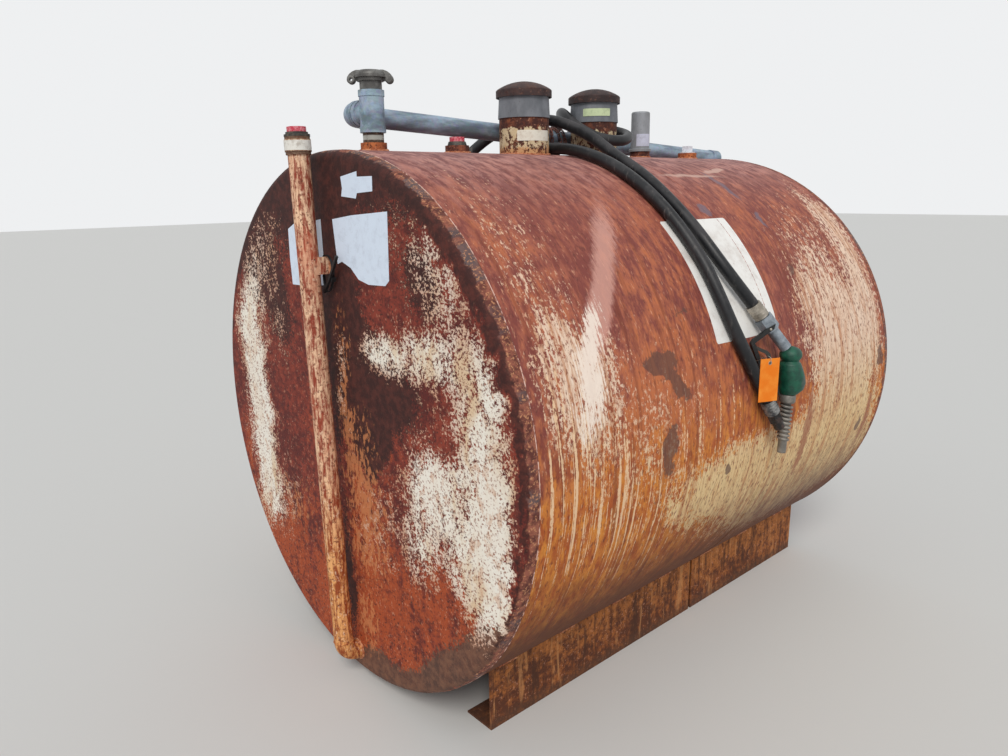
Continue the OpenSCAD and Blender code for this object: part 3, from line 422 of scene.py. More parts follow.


# The shell
# Two rolled courses of 6 mm plate, welded round. Paint has weathered off the crown to a pinkish
# rust, painted lighter there as a sheen, and it stays cream low on the far side; water has drawn
# streaks down it.
def shell_finish():
    shell = Finish("worn_shell", gloss=0.35)
    x, y, z = shell.split(shell.place)
    lean = shell.sum("ARCTAN2", shell.scaled(y, -1.0), shell.sum("SUBTRACT", z, axis_z))
    arc = shell.scaled(lean, shell_r)
    down = shell.sum("ABSOLUTE", arc)
    flat = shell.join(x, arc, 0.0)
    loose = shell.drift(flat, 0.12, 6, 5)
    fine = shell.crumble(shell.stretch(flat, (1, 0.6, 1)), 100, 3.5, 0.72)
    mid = shell.crumble(shell.stretch(flat, (1, 0.42, 1)), 26, 4, 0.68)
    hairs = shell.crumble(shell.stretch(flat, (110, 5.5, 1)), 1.3, 5, 0.72)
    streaks = shell.noise(shell.stretch(flat, (26, 1.3, 1)), 1.4, 6, 0.62, 0.3)
    broken = shell.scaled(mid, 0.3, shell.scaled(hairs, 0.16))
    broken = shell.scaled(fine, 0.54, broken)
    warm = shell.sum("ADD", shell.ease(down, 0.8, 1.5, 0.0, 0.85), shell.patches(loose, [
        (0.45, 0.62, 0.5, 0.35, 0.35), (-0.35, 0.95, 0.4, 0.5, 0.55),
        (-0.85, 0.75, 0.2, 0.5, 0.3),
    ]))
    combed = shell.stretch(flat, (1, 0.36, 1))
    colour, close, speck = rust_colours(
        shell, combed, warm, (128, 64, 56), (168, 96, 76), (192, 110, 68), 0.7, 0.45
    )
    low = shell.ease(shell.scaled(mid, 0.12, down), 1.15, 1.45)
    ochre = shell.tinge((172, 82, 26), (222, 142, 52), close, 0.36, 0.66)
    ochre = shell.tinge(ochre, (120, 56, 28), speck, 0.45, 0.32, 0.8)
    colour = shell.coat(colour, ochre, low, 0.88)
    # Partly rust, partly a painted highlight: the pinkish rust on the crown is made lighter than
    # the rust alone, to stand for the sheen of the sky on the top.
    crown = shell.ease(shell.scaled(streaks, 0.35, down), 0.8, 0.25)
    pink_rust_and_sheen = shell.tinge((118, 74, 74), (196, 146, 138), shell.scaled(mid, 0.15, close), 0.44, 0.68)
    long_clouds = shell.noise(shell.stretch(flat, (1.6, 5, 1)), 2.4, 5, 0.6)
    pink_rust_and_sheen = shell.tinge(pink_rust_and_sheen, (110, 74, 74), long_clouds, 0.42, 0.62, 0.5)
    colour = shell.coat(colour, pink_rust_and_sheen, crown, 0.85)
    runs = shell.ease(streaks, 0.5, 0.66, 0.0, 0.6)
    colour = shell.mix(shell.scaled(runs, shell.ease(down, 0.3, 0.8)), colour, (122, 58, 38))
    left_sum = shell.patches(loose, [
        (-0.86, 0.78, 0.26, 0.7, 0.66), (-0.77, 1.02, 0.2, 0.26, 0.7),
        (0.58, 1.1, 0.5, 0.36, 1.15), (0.66, 1.1, 0.26, 0.2, 0.35),
        (0.3, 1.52, 0.86, 0.28, 1.4), (-0.1, 1.44, 0.46, 0.18, 1.00),
        (0.62, 1.42, 0.5, 0.4, 0.9), (0.8, 0.72, 0.12, 0.5, 0.85),
        (0.6, 0.7, 0.5, 0.4, 0.72), (0.4, 1.75, 0.9, 0.36, 0.9),
        (-0.58, 1.28, 0.46, 0.5, 0.7), (-0.25, 0.95, 0.5, 0.6, 0.34),
        (0.35, 0.95, 0.3, 0.4, 0.4), (-0.6, 0.5, 0.4, 0.4, 0.34),
        (-0.4, -0.95, 0.6, 0.5, 1.1), (0.55, -1.25, 0.6, 0.55, 1.2),
        (0.1, -0.6, 0.35, 0.35, 0.7), (-0.8, -1.45, 0.35, 0.6, 1.0),
    ])
    left_sum = shell.sum("ADD", left_sum, shell.ease(crown, 0.0, 1.0, 0.15, 0.34))
    left_paint = shell.ease(left_sum, 0.0, 1.65, 0.0, 0.96)
    paint = shell.flaked(left_paint, shell.scaled(broken, 0.9, 0.06), 0.15)
    golden = shell.ease(down, 1.05, 1.45)
    cream = shell.mix(golden, (242, 216, 192), (234, 206, 152))
    cream = shell.tinge(cream, (190, 118, 68), streaks, 0.5, 0.62, 0.65)
    cream = shell.tinge(cream, (184, 118, 66), hairs, 0.45, 0.85, 0.45)
    cream = shell.tinge(cream, (220, 164, 128), left_paint, 0.7, 0.2, 0.65)
    cream = shell.tinge(cream, (134, 72, 44), speck, 0.47, 0.33, 0.85)
    cream = shell.tinge(cream, (174, 108, 66), close, 0.54, 0.68, 0.6)
    colour = shell.coat(colour, cream, paint, 0.92)
    drip_place = shell.patches(loose, [
        (-0.62, 1.44, 0.58, 0.52, 0.85), (-0.88, 1.1, 0.16, 0.65, 0.4),
        (-0.15, 1.15, 0.3, 0.3, 0.35),
    ])
    lines = shell.noise(shell.stretch(shell.drift(flat, 0.012, 9, 2), (64, 1.3, 1)), 1.0, 4, 0.74)
    dry = shell.scaled(fine, 0.4, shell.ease(lines, 0.62, 0.47, 0.08, 0.95))
    drips = shell.flaked(drip_place, dry, 0.25)
    colour = shell.coat(colour, (240, 204, 164), drips, 0.9)
    rust_runs = shell.patches(shell.drift(flat, 0.05, 14, 4), [
        (0.31, 1.42, 0.045, 0.3, 1.4), (0.8, 1.45, 0.04, 0.3, 1.2),
        (0.5, 1.3, 0.03, 0.24, 0.8), (0.66, 1.1, 0.1, 0.05, 0.7),
    ])
    run_share = shell.flaked(rust_runs, shell.scaled(broken, 0.8, 0.15), 0.25)
    colour = shell.coat(colour, (150, 76, 46), run_share, 0.75)
    band_place = shell.drift(flat, 0.03, 9, 4)
    band = shell.patches(band_place, [
        (-0.53, 0.7, 0.06, 0.34, 1.2, 36), (-0.68, 0.9, 0.06, 0.2, 1.1, 36),
    ])
    rubbed = shell.sum("SUBTRACT", band, shell.scaled(hairs, 0.3, shell.scaled(fine, 0.2)))
    colour = shell.tinge(colour, (216, 162, 148), rubbed, -0.1, 0.6, 0.72)
    chalk = shell.patches(band_place, [
        (-0.76, 1.04, 0.11, 0.24, 1.15, 14), (-0.68, 0.88, 0.05, 0.16, 0.8, 34),
    ])
    worn = shell.scaled(broken, 0.5, shell.scaled(hairs, 0.45, 0.1))
    chalked = shell.flaked(chalk, worn, 0.25)
    colour = shell.coat(colour, (248, 232, 218), chalked, 0.9)
    smear = shell.patches(shell.drift(flat, 0.09, 14, 4), [
        (-0.47, 1.03, 0.11, 0.05, 2.0, 12), (-0.42, 1.1, 0.1, 0.035, 2.0, 35),
        (-0.47, 1.27, 0.045, 0.1, 2.2, 10), (-0.33, 0.9, 0.1, 0.04, 0.9),
        (0.745, 1.47, 0.03, 0.03, 2.4), (0.84, 1.21, 0.035, 0.05, 2.4),
        (-0.16, 1.41, 0.035, 0.03, 1.6), (0.33, 0.84, 0.05, 0.05, 1.0),
    ])
    smear_share = shell.flaked(smear, shell.scaled(broken, 0.5, 0.35), 0.2)
    colour = shell.coat(colour, (98, 66, 56), smear_share, 0.8)
    scrape = shell.patches(shell.drift(flat, 0.05, 20, 3), [
        (0.07, 0.56, 0.035, 0.045, 2.2), (0.335, 0.42, 0.02, 0.16, 1.9),
        (0.345, 0.62, 0.018, 0.06, 1.9),
    ])
    colour = shell.tinge(colour, (112, 104, 118), scrape, 0.5, 1.0, 0.7)
    scuff = shell.patches(shell.drift(flat, 0.04, 12, 4), [
        (0.24, 0.36, 0.28, 0.018, 1.2, 2), (0.44, 0.31, 0.12, 0.02, 1.9, -14),
    ])
    colour = shell.tinge(colour, (214, 178, 164), scuff, 0.15, 0.9, 0.7)
    near_edge = shell.ease(shell.scaled(mid, 0.012, x), -0.962, -0.97)
    far_edge = shell.ease(shell.scaled(mid, -0.014, x), 0.868, 0.88)
    colour = shell.coat(colour, (132, 74, 52), near_edge, 0.75)
    colour = shell.coat(colour, (104, 62, 50), far_edge, 0.85)
    # Painted shade: the shell is darkened towards a dark brown low on its underside, where shade
    # falls under the tank.
    under = shell.ease(shell.scaled(mid, 0.1, down), 1.48, 1.9, 0.0, 0.92)
    colour = shell.mix(under, colour, (88, 42, 16))
    relief = shell.scaled(paint, 0.5, shell.scaled(fine, 0.5))
    low_relief = shell.bump(shell.noise(flat, 2.6, 3, 0.5), 0.3, 0.015)
    rough = shell.ease(paint, 0, 1, 0.66, 0.52)
    return shell.lay(colour, rough, shell.bump(relief, 0.45, 0.0014, low_relief))


shell_paint = shell_finish()
put_on(shell_paint, "near_shell_course", "far_shell_course")


# The decal and the torn stickers
# Thin white vinyl stuck on the paint. The big square on the shell and the torn pieces on the
# near head are left bare; rust has crept under their edges.
def finish_mesh(name, shape, flat=False):
    """Turns a finished bmesh into an object at the origin, shaded smooth unless flat."""
    bmesh.ops.remove_doubles(shape, verts=shape.verts, dist=0.00001)
    bmesh.ops.recalc_face_normals(shape, faces=shape.faces)
    mesh = bpy.data.meshes.new(name)
    shape.to_mesh(mesh)
    shape.free()
    for face in mesh.polygons:
        face.use_smooth = not flat
    piece = bpy.data.objects.new(name, mesh)
    scene.collection.objects.link(piece)
    return piece


def worn_finish(name, tones, cloud, span, speck=None, grainy=False, relief=(0.3, 0.0006),
                metal=0.0, gloss=0.5, rough=0.5, stretch=(1, 1, 1)):
    """Two tones in soft clouds, and a third in fine specks where a speck is given.

    Cloud and the first part of speck are noise, span and the second part say where the tones
    change, and grainy takes the relief from the specks. Rough may go along with the clouds.
    """
    worn = Finish(name, metal, gloss)
    broad = worn.noise(worn.stretch(worn.place, stretch), *cloud)
    colour = worn.tinge(tones[0], tones[1], broad, *span)
    if speck:
        fine = worn.noise(worn.place, *speck[0])
        colour = worn.tinge(colour, tones[2], fine, *speck[1])
    if isinstance(rough, tuple):
        rough = worn.ease(broad, 0.3, 0.7, *rough)
    return worn.lay(colour, rough, worn.bump(fine if grainy else broad, *relief))


def vinyl_finish(name, base, dirt, grime=0.5, scale=30):
    return worn_finish(
        name, (base, dirt, (150, 112, 92)), (scale, 7, 0.68), (0.45, 0.75, grime),
        ((scale * 9, 3, 0.6), (0.66, 0.74, 0.6)), gloss=0.45,
    )


sheet_cell = 0.012
glue_gap = 0.0002
decal_thickness = 0.0005
label_thickness = 0.0004


def thicken(shape, way):
    """Pulls the faces of a flat shape out along a vector."""
    raised = bmesh.ops.extrude_face_region(shape, geom=shape.faces[:])
    top = [part for part in raised["geom"] if isinstance(part, bmesh.types.BMVert)]
    bmesh.ops.translate(shape, verts=top, vec=way)


def thin_sheet(name, corners, bend, thickness):
    """A thin sheet cut to the given corners, then bent onto what it is stuck to."""
    shape = bmesh.new()
    verts = [shape.verts.new((u, v, 0.0)) for u, v in corners]
    face = shape.faces.new(verts)
    face.normal_update()
    if face.normal.z < 0:
        face.normal_flip()
    for axis, way in enumerate((Vector((1, 0, 0)), Vector((0, 1, 0)))):
        low = min(corner[axis] for corner in corners)
        span = max(corner[axis] for corner in corners) - low
        count = max(1, round(span / sheet_cell))
        for k in range(1, count):
            parts = shape.verts[:] + shape.edges[:] + shape.faces[:]
            cut = way * (low + span * k / count)
            bmesh.ops.bisect_plane(shape, geom=parts, plane_co=cut, plane_no=way)
    thicken(shape, (0.0, 0.0, thickness))
    for vert in shape.verts:
        vert.co = bend(*vert.co)
    return finish_mesh(name, shape, flat=True)


def onto_shell(along, arc, height):
    """A place on the hose side of the shell: along the tank, down from the crown, and out."""
    turn = arc / shell_r
    reach = shell_r + height
    return Vector((along, -reach * math.sin(turn), axis_z + reach * math.cos(turn)))


decal = thin_sheet(
    "bare_decal",
    [
        (-0.209, 0.612), (-0.204, 0.606), (0.129, 0.606), (0.132, 0.611),
        (0.132, 0.966), (0.126, 1.018), (-0.03, 1.02), (-0.205, 1.017), (-0.209, 1.01),
    ],
    lambda u, v, w: onto_shell(u, v, w + glue_gap),
    decal_thickness,
)
put_on(vinyl_finish("decal_vinyl", (242, 240, 236), (190, 176, 166), 0.5, 16), decal)
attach(decal, "tank")

sticker_outlines = {
    "small_torn_sticker": [
        (-0.087, 1.577), (-0.171, 1.589), (-0.171, 1.575), (-0.245, 1.575), (-0.243, 1.537),
        (-0.167, 1.533), (-0.16, 1.519), (-0.085, 1.525), (-0.092, 1.546),
    ],
    "large_torn_sticker": [
        (-0.027, 1.463), (-0.13, 1.475), (-0.307, 1.487), (-0.3, 1.311), (-0.281, 1.296),
        (-0.2, 1.293), (-0.15, 1.303), (-0.112, 1.332), (-0.067, 1.347), (-0.042, 1.339),
    ],
    "sticker_behind_pipe": [
        (0.247, 1.429), (0.2, 1.448), (0.11, 1.452), (0.04, 1.462), (0.036, 1.274),
        (0.12, 1.262), (0.245, 1.259), (0.25, 1.34),
    ],
}
sticker_vinyl = vinyl_finish("sticker_vinyl", (222, 234, 250), (186, 194, 210), 0.5, 34)
for name, corners in sticker_outlines.items():
    sticker = thin_sheet(
        name,
        [(-y, z) for y, z in corners],
        lambda u, v, w: Vector((near_face_x - glue_gap - w, -u, v)),
        label_thickness,
    )
    put_on(sticker_vinyl, sticker)
    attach(sticker, "tank")


# The welds
# Beads laid by hand, with the small ripples that each pass leaves: round the shell at its
# two courses and its heads, and at the foot of every socket and riser.
weld_step = 0.004


def weld_bead(name, line, radius, seed, finish, closed=True):
    """A bead of weld metal along a line of points, swelling and thinning as it goes."""
    draw = random.Random(seed)
    ripple = 0.16
    roughness = 0.22
    swell = []
    for i in range(len(line)):
        swell.append(1.0 + ripple * math.sin(i * 1.9) + roughness * (draw.random() - 0.5))
    bead = round_bar(name, line, radius, swell, closed, sides=2)
    put_on(finish, bead)
    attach(bead, "tank")


def foot_line(along, radius):
    """Where an upright round foot of this radius meets the shell's crown."""
    line = []
    count = round(radius * 2 * math.pi / weld_step)
    for i in range(count):
        turn = 2 * math.pi * i / count
        across = radius * math.sin(turn)
        up = axis_z + math.sqrt(shell_r**2 - across**2)
        line.append(Vector((along + radius * math.cos(turn), across, up)))
    return line


def weld_rust_finish():
    bead = Finish("weld_rust", gloss=0.4)
    patchy = bead.noise(bead.place, 60, 6, 0.7)
    specks = bead.noise(bead.place, 300, 3, 0.6)
    colour = bead.tinge((146, 72, 40), (206, 142, 104), patchy, 0.36, 0.62)
    colour = bead.tinge(colour, (84, 44, 34), specks, 0.6, 0.7, 0.7)
    return bead.lay(colour, 0.75, bead.bump(bead.noise(bead.place, 500, 4, 0.7), 0.5, 0.0006))


weld_rust = weld_rust_finish()
seam_x = 0.0901
seam_r = shell_r - 0.0005
seam_steps = 1020
seam_line = []
for i in range(seam_steps):
    turn = 2 * math.pi * i / seam_steps
    seam_line.append(Vector((seam_x, seam_r * math.sin(turn), axis_z + seam_r * math.cos(turn))))
weld_bead("course_seam_weld", seam_line, 0.0016, 3, shell_paint)
seam_scale = worn_finish(
    "pinkish_seam_scale", ((112, 62, 52), (222, 184, 170)), (38, 5, 0.7), (0.44, 0.56),
    gloss=0.4, rough=0.65,
)
for name, along, finish in (("near", -0.964, seam_scale), ("far", 0.8821, shell_paint)):
    line = [Vector((along, *point[1:])) for point in seam_line]
    weld_bead(name + "_head_weld", line, 0.0015, 5, finish)
socket_places = {"fill": -0.8389, "small_port": -0.5309, "gauge": 0.3841, "white_port": 0.7001}
socket_r = 0.0365
socket_weld_r = socket_r + 0.002
for count, (name, along) in enumerate(socket_places.items()):
    line = foot_line(along, socket_weld_r)
    weld_bead(name + "_foot_weld", line, 0.0045, 10 + count, weld_rust)
vent_places = {"front": -0.2399, "back": 0.1121}
riser_r = 0.08415
riser_weld_r = riser_r + 0.00085
for count, (name, along) in enumerate(vent_places.items()):
    line = foot_line(along, riser_weld_r)
    weld_bead(name + "_riser_weld", line, 0.0048, 20 + count, weld_rust)


# The skids
# Bent plate, two lengths a side, stitched to the shell. Bare rust all over, darker towards the
# ground, with the odd fleck of old paint.
def skid_finish():
    skid = Finish("rusted_skid_plate", gloss=0.35)
    z = skid.split(skid.place)[2]
    fall = skid.noise(skid.stretch(skid.place, (26, 26, 3.5)), 1.5, 6, 0.65, 0.4)
    warm = skid.ease(z, 0.02, 0.2, 0.15, 0.65)
    colour, close, speck = rust_colours(
        skid, skid.place, warm, (92, 50, 30), (134, 74, 38), (176, 108, 54)
    )
    colour = skid.tinge(colour, (72, 42, 28), fall, 0.5, 0.64, 0.8)
    colour = skid.tinge(colour, (206, 146, 92), fall, 0.44, 0.34, 0.5)
    low = skid.ease(skid.scaled(close, 0.05, z), 0.075, 0.035, 0, 0.6)
    colour = skid.mix(low, colour, (84, 58, 44))
    return skid.lay(colour, 0.82, skid.bump(skid.scaled(close, 0.7, speck), 0.5, 0.0012))


skid_rust = skid_finish()
put_on(skid_rust, "hose_side_skid_near", "hose_side_skid_far", "back_skid_near", "back_skid_far")

stitches = [-0.8, -0.55, -0.3, -0.05, 0.2, 0.45, 0.72]
stitch_steps = 17
skid_weld_y = 0.5045
skid_weld_z = 0.1995
for count, along in enumerate(stitches):
    start = along - weld_step * stitch_steps / 2
    for side, across in (("hose_side", -skid_weld_y), ("back", skid_weld_y)):
        line = []
        for i in range(stitch_steps + 1):
            line.append(Vector((start + weld_step * i, across, skid_weld_z)))
        name = "%s_stitch_%d" % (side, count + 1)
        weld_bead(name, line, 0.005, 40 + count, weld_rust, closed=False)


# The monitor pipe
# Two inch pipe standing off the near head on an elbow welded into it, tied back by a
# bracket. It has scaled to a peach rust with dark pits, and orange where it stays wet.
def pipe_scale_finish():
    pipe = Finish("monitor_pipe_scale", gloss=0.35)
    z = pipe.split(pipe.place)[2]
    streaks = pipe.noise(pipe.stretch(pipe.place, (1, 1, 0.1)), 105, 4, 0.7)
    scabs = pipe.noise(pipe.stretch(pipe.place, (1, 1, 0.34)), 75, 4, 0.7)
    flakes = pipe.scaled(streaks, 0.55, pipe.scaled(scabs, 0.45))
    pits = pipe.noise(pipe.place, 95, 2, 0.6)
    deep_pits = pipe.noise(pipe.place, 84, 2, 0.6)
    glow = pipe.noise(pipe.stretch(pipe.place, (1, 1, 0.5)), 9, 4, 0.6)
    colour = pipe.tinge((146, 62, 44), (242, 202, 166), flakes, 0.43, 0.59)
    colour = pipe.tinge(colour, (190, 90, 60), glow, 0.5, 0.66, 0.45)
    low_rust = pipe.tinge((150, 72, 30), (232, 164, 92), flakes, 0.43, 0.59)
    colour = pipe.tinge(colour, low_rust, z, 0.85, 0.35, 0.85)
    colour = pipe.tinge(colour, (118, 56, 38), pits, 0.45, 0.33, 0.8)
    colour = pipe.tinge(colour, (64, 34, 28), deep_pits, 0.33, 0.27, 0.85)
    pale = pipe.noise(pipe.stretch(pipe.place, (1, 1, 0.6), shift=(2, 3, 1)), 110, 2, 0.6)
    colour = pipe.tinge(colour, (240, 206, 176), pale, 0.58, 0.7, 0.6)
    return pipe.lay(colour, 0.78, pipe.bump(pipe.scaled(flakes, 1.0, pits), 0.6, 0.0014))


pipe_scale = pipe_scale_finish()
put_on(pipe_scale, "monitor_elbow", "monitor_pipe", "monitor_bracket")


def coupling_finish():
    coupling = Finish("flaking_coupling", gloss=0.35)
    z = coupling.split(coupling.place)[2]
    scabs = coupling.noise(coupling.place, 90, 5, 0.68)
    level = coupling.scaled(scabs, 0.006, z)
    colour = coupling.tinge((150, 96, 66), (224, 196, 160), scabs, 0.42, 0.6)
    low_end = coupling.ease(level, 1.654, 1.648)
    ends = coupling.sum("ADD", low_end, coupling.ease(level, 1.68, 1.684))
    colour = coupling.coat(colour, (86, 58, 46), ends, 0.85)
    return coupling.lay(colour, 0.7, coupling.bump(scabs, 0.5, 0.001))


def plastic_finish(name, fresh, faded):
    return worn_finish(
        name, (fresh, faded), (120, 5, 0.65), (0.4, 0.66, 0.9),
        relief=(0.2, 0.0005), gloss=0.45, rough=0.55,
    )


put_on(coupling_finish(), "monitor_coupling")
red_plastic = plastic_finish("faded_red_plastic", (196, 52, 74), (230, 152, 158))
put_on(red_plastic, "monitor_plug", "red_plug")
dark_iron = worn_finish(
    "dark_oiled_casting", ((44, 42, 38), (92, 84, 74), (104, 62, 44)), (70, 6, 0.7), (0.42, 0.66),
    ((22, 4), (0.55, 0.7, 0.6)), relief=(0.4, 0.0008), rough=0.6,
)
put_on(dark_iron, "monitor_flange", "small_port_bushing")


def post_label(name, centre, radius, turn_from, turn_to, low, high, vinyl, lean=0.0):
    """A blank label wrapped part of the way round an upright post that may lean sideways."""
    # It is drawn as a sheet of this side, then stretched to its true size as it is bent
    side = 0.2
    corners = [
        (0, 0.03), (0.02, 0), (0.98, 0.01), (1, 0.06),
        (1, 0.96), (0.97, 1), (0.03, 0.99), (0, 0.93),
    ]

    def bend(u, v, w):
        turn = math.radians(turn_from + (turn_to - turn_from) * u / side)
        reach = radius + glue_gap + w
        up = (high - low) * v / side
        across = centre[1] + reach * math.sin(turn) + lean * (up - (high - low) / 2)
        return Vector((centre[0] + reach * math.cos(turn), across, low + up))

    label = thin_sheet(name, [(u * side, v * side) for u, v in corners], bend, label_thickness)
    put_on(vinyl, label)
    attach(label, "tank")


monitor_lean = math.radians(2)
monitor_way = Vector((0.0, math.sin(monitor_lean), math.cos(monitor_lean)))
outlet = Vector((near_face_x, -0.01, 0.098))
monitor_bend = 0.0508
monitor_r = 0.0302


def facing(point, way):
    """The place of something that stands on a point, its axis along the given way."""
    return Matrix.Translation(point) @ Vector(way).to_track_quat("Z", "Y").to_matrix().to_4x4()


def ring_line(centre, way, radius, step=weld_step):
    """The points of a circle round an axis."""
    place = facing(centre, way)
    count = round(radius * 2 * math.pi / step)
    line = []
    for i in range(count):
        turn = 2 * math.pi * i / count
        line.append(place @ Vector((radius * math.cos(turn), radius * math.sin(turn), 0.0)))
    return line


outlet_ring = ring_line(outlet, (1, 0, 0), monitor_r + 0.0006)
weld_bead("outlet_weld", outlet_ring, 0.0045, 31, weld_rust)
elbow_top = outlet + Vector((-monitor_bend, 0.0, 0.0)) + monitor_way * monitor_bend
elbow_ring = ring_line(elbow_top, monitor_way, monitor_r)
weld_bead("elbow_weld", elbow_ring, 0.0022, 32, pipe_scale)
bracket_x = near_face_x - 0.0005
bracket_line = [Vector((bracket_x, 0.002, 1.309 + weld_step * i)) for i in range(13)]
weld_bead("bracket_weld", bracket_line, 0.0035, 33, weld_rust, closed=False)
post_label(
    "coupling_label", (near_face_x - monitor_bend, 0.0447), socket_r, 150, 322, 1.6495, 1.6765,
    vinyl_finish("coupling_label_vinyl", (232, 228, 220), (170, 158, 146), 0.8, 70),
    lean=math.tan(monitor_lean),
)


def strap(name, line, width, thickness, closed=False):
    """A flat strap along a line of points, its width lying along the tank."""
    shape = bmesh.new()
    corners = ((1, 1), (-1, 1), (-1, -1), (1, -1))
    wide = Vector((width / 2, 0.0, 0.0))
    rings = []
    count = len(line)
    for i in range(count):
        before = line[i - 1] if closed or i else line[0]
        after = line[(i + 1) % count] if closed or i < count - 1 else line[-1]
        deep = (after - before).normalized().cross(Vector((1.0, 0.0, 0.0))) * (thickness / 2)
        rings.append([shape.verts.new(line[i] + a * wide + b * deep) for a, b in corners])
    pairs = list(zip(rings, rings[1:]))
    if closed:
        pairs.append((rings[-1], rings[0]))
    for first, second in pairs:
        for k in range(4):
            shape.faces.new((first[k], first[(k + 1) % 4], second[(k + 1) % 4], second[k]))
    if not closed:
        shape.faces.new(rings[0])
        shape.faces.new(rings[-1])
    return finish_mesh(name, shape, flat=True)


tie_x = near_face_x - 0.012
tie_corners = [
    (0.012, 1.361), (-0.004, 1.363), (-0.021, 1.354), (-0.032, 1.332), (-0.032, 1.306),
    (-0.024, 1.283), (-0.008, 1.262), (0.008, 1.258), (0.018, 1.276), (0.021, 1.315),
    (0.02, 1.348),
]
tie_ring = [Vector((tie_x, y, z)) for y, z in tie_corners + tie_corners[:1]]
tie_line = smooth_line(tie_ring, 0.004)[:-1]
tail_corners = [
    (0.008, 1.258), (-0.016, 1.284), (-0.038, 1.312), (-0.06, 1.342), (-0.074, 1.364),
]
tail_line = smooth_line([Vector((tie_x - 0.009, y, z)) for y, z in tail_corners], 0.004)
lock_line = [Vector((tie_x, -0.0295, 1.29)), Vector((tie_x, -0.0345, 1.302))]
black_nylon = worn_finish(
    "black_nylon", ((16, 16, 18), (44, 42, 44)), (200, 4, 0.6), (0.4, 0.7), relief=(0.2, 0.0004)
)
tie_parts = [
    strap("cable_tie", tie_line, 0.0078, 0.0018, closed=True),
    strap("cable_tie_tail", tail_line, 0.008, 0.0075),
    strap("cable_tie_lock", lock_line, 0.0125, 0.008),
]
put_on(black_nylon, *tie_parts)
for part in tie_parts:
    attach(part, "tank")


# Zinc and castings
# Galvanised pipe and malleable fittings gone dull blue-grey, with cast aluminium for the
# fill adapter and its lockable lid.
def zinc_finish():
    zinc = Finish("weathered_zinc", metal=0.35, gloss=0.5)
    grain = zinc.noise(zinc.place, 160, 5, 0.65)
    cloud = zinc.noise(zinc.stretch(zinc.place, (3, 12, 12)), 2.2, 6, 0.62)
    spangle = zinc.cells(zinc.place, 90, "F1", "Color")
    colour = zinc.tinge((108, 122, 136), (164, 182, 200), cloud, 0.36, 0.66)
    colour = zinc.mix(0.12, colour, spangle, "SOFT_LIGHT")
    colour = zinc.tinge(colour, (112, 116, 120), grain, 0.6, 0.72, 0.5)
    rough = zinc.ease(cloud, 0.3, 0.7, 0.46, 0.66)
    return zinc.lay(colour, rough, zinc.bump(grain, 0.25, 0.0006))


def nipple_finish():
    """A threaded nipple, oily above and below a bright ring left by the wrench."""
    nipple = Finish("oily_nipple", metal=0.5, gloss=0.6)
    z = nipple.split(nipple.place)[2]
    worn = nipple.noise(nipple.place, 70, 5, 0.65)
    dark = nipple.tinge((58, 40, 32), (112, 92, 76), worn, 0.38, 0.64)
    level = nipple.scaled(worn, 0.004, z)
    ring = nipple.scaled(nipple.ease(level, 1.681, 1.684), nipple.ease(level, 1.697, 1.694))
    colour = nipple.mix(ring, dark, (168, 168, 160))
    rough = nipple.ease(ring, 0, 1, 0.6, 0.35)
    return nipple.lay(colour, rough, nipple.bump(worn, 0.3, 0.0006))


def cast_alloy_finish(name, first, second, metal=0.45):
    return worn_finish(
        name, (first, second, (70, 66, 60)), (28, 6, 0.65), (0.38, 0.66),
        ((260, 5, 0.7), (0.58, 0.7, 0.45)), True, (0.35, 0.0006), metal, rough=(0.45, 0.65),
    )


zinc = zinc_finish()
put_on(zinc, "fill_tee", "side_nipple", "side_elbow", "top_pipe", "top_pipe_sleeve")
put_on(nipple_finish(), "fill_nipple")
lid_alloy = cast_alloy_finish("weathered_lid_casting", (84, 82, 80), (128, 127, 124))
put_on(lid_alloy, "fill_adapter", "fill_lid")


def plate(name, outline, low, high, place):
    """A flat plate cut to an outline of (x, z) points, from one y to another, then placed."""
    shape = bmesh.new()
    shape.faces.new([shape.verts.new((x, low, z)) for x, z in outline])
    thicken(shape, (0.0, high - low, 0.0))
    bmesh.ops.transform(shape, matrix=place, verts=shape.verts)
    return finish_mesh(name, shape, flat=True)


def spin_outline(shape, outline, steps):
    """Turns an outline of (radius, height) points about the upright axis."""
    verts = [shape.verts.new((radius, 0.0, height)) for radius, height in outline]
    edges = [shape.edges.new(pair) for pair in zip(verts, verts[1:])]
    bmesh.ops.spin(
        shape, geom=verts + edges, cent=(0, 0, 0), axis=(0, 0, 1),
        angle=2 * math.pi, steps=steps, use_merge=True,
    )


def turned(name, outline, place, steps=48):
    """A part turned from an outline, then placed."""
    shape = bmesh.new()
    spin_outline(shape, outline, steps)
    bmesh.ops.transform(shape, matrix=place, verts=shape.verts)
    return finish_mesh(name, shape)


# The lid's strap arches over it, from the padlock hole on one side to the hinge on the other
lid_middle = (-0.83891, 0.0, 1.8455)
lid_frame = Matrix.Translation(lid_middle) @ Matrix.Rotation(math.radians(-40), 4, "Z")
half_arch = [(0.065, 0.0), (0.064, 0.007), (0.058, 0.015), (0.049, 0.0215), (0.038, 0.0255)]
under_arch = [(0.061, 0.005), (0.054, 0.008), (0.046, 0.006), (0.042, 0.012)]
arch = half_arch + [(-x, z) for x, z in reversed(half_arch)]
arch += [(-x, z) for x, z in under_arch] + list(reversed(under_arch))
arch_top = [
    (0.05, 0.018), (0.048, 0.0215), (0.038, 0.025),
    (-0.038, 0.025), (-0.048, 0.0215), (-0.05, 0.018),
]
boss = [
    (0.0042, -0.0023), (0.011, -0.0023), (0.0118, 0.0),
    (0.011, 0.0023), (0.0042, 0.0023), (0.0042, -0.0023),
]
on_its_side = Matrix.Rotation(math.pi / 2, 4, "X")
lid_parts = [plate("lid_strap_top", arch_top, -0.0085, 0.0085, lid_frame)]
bar_width = 0.004
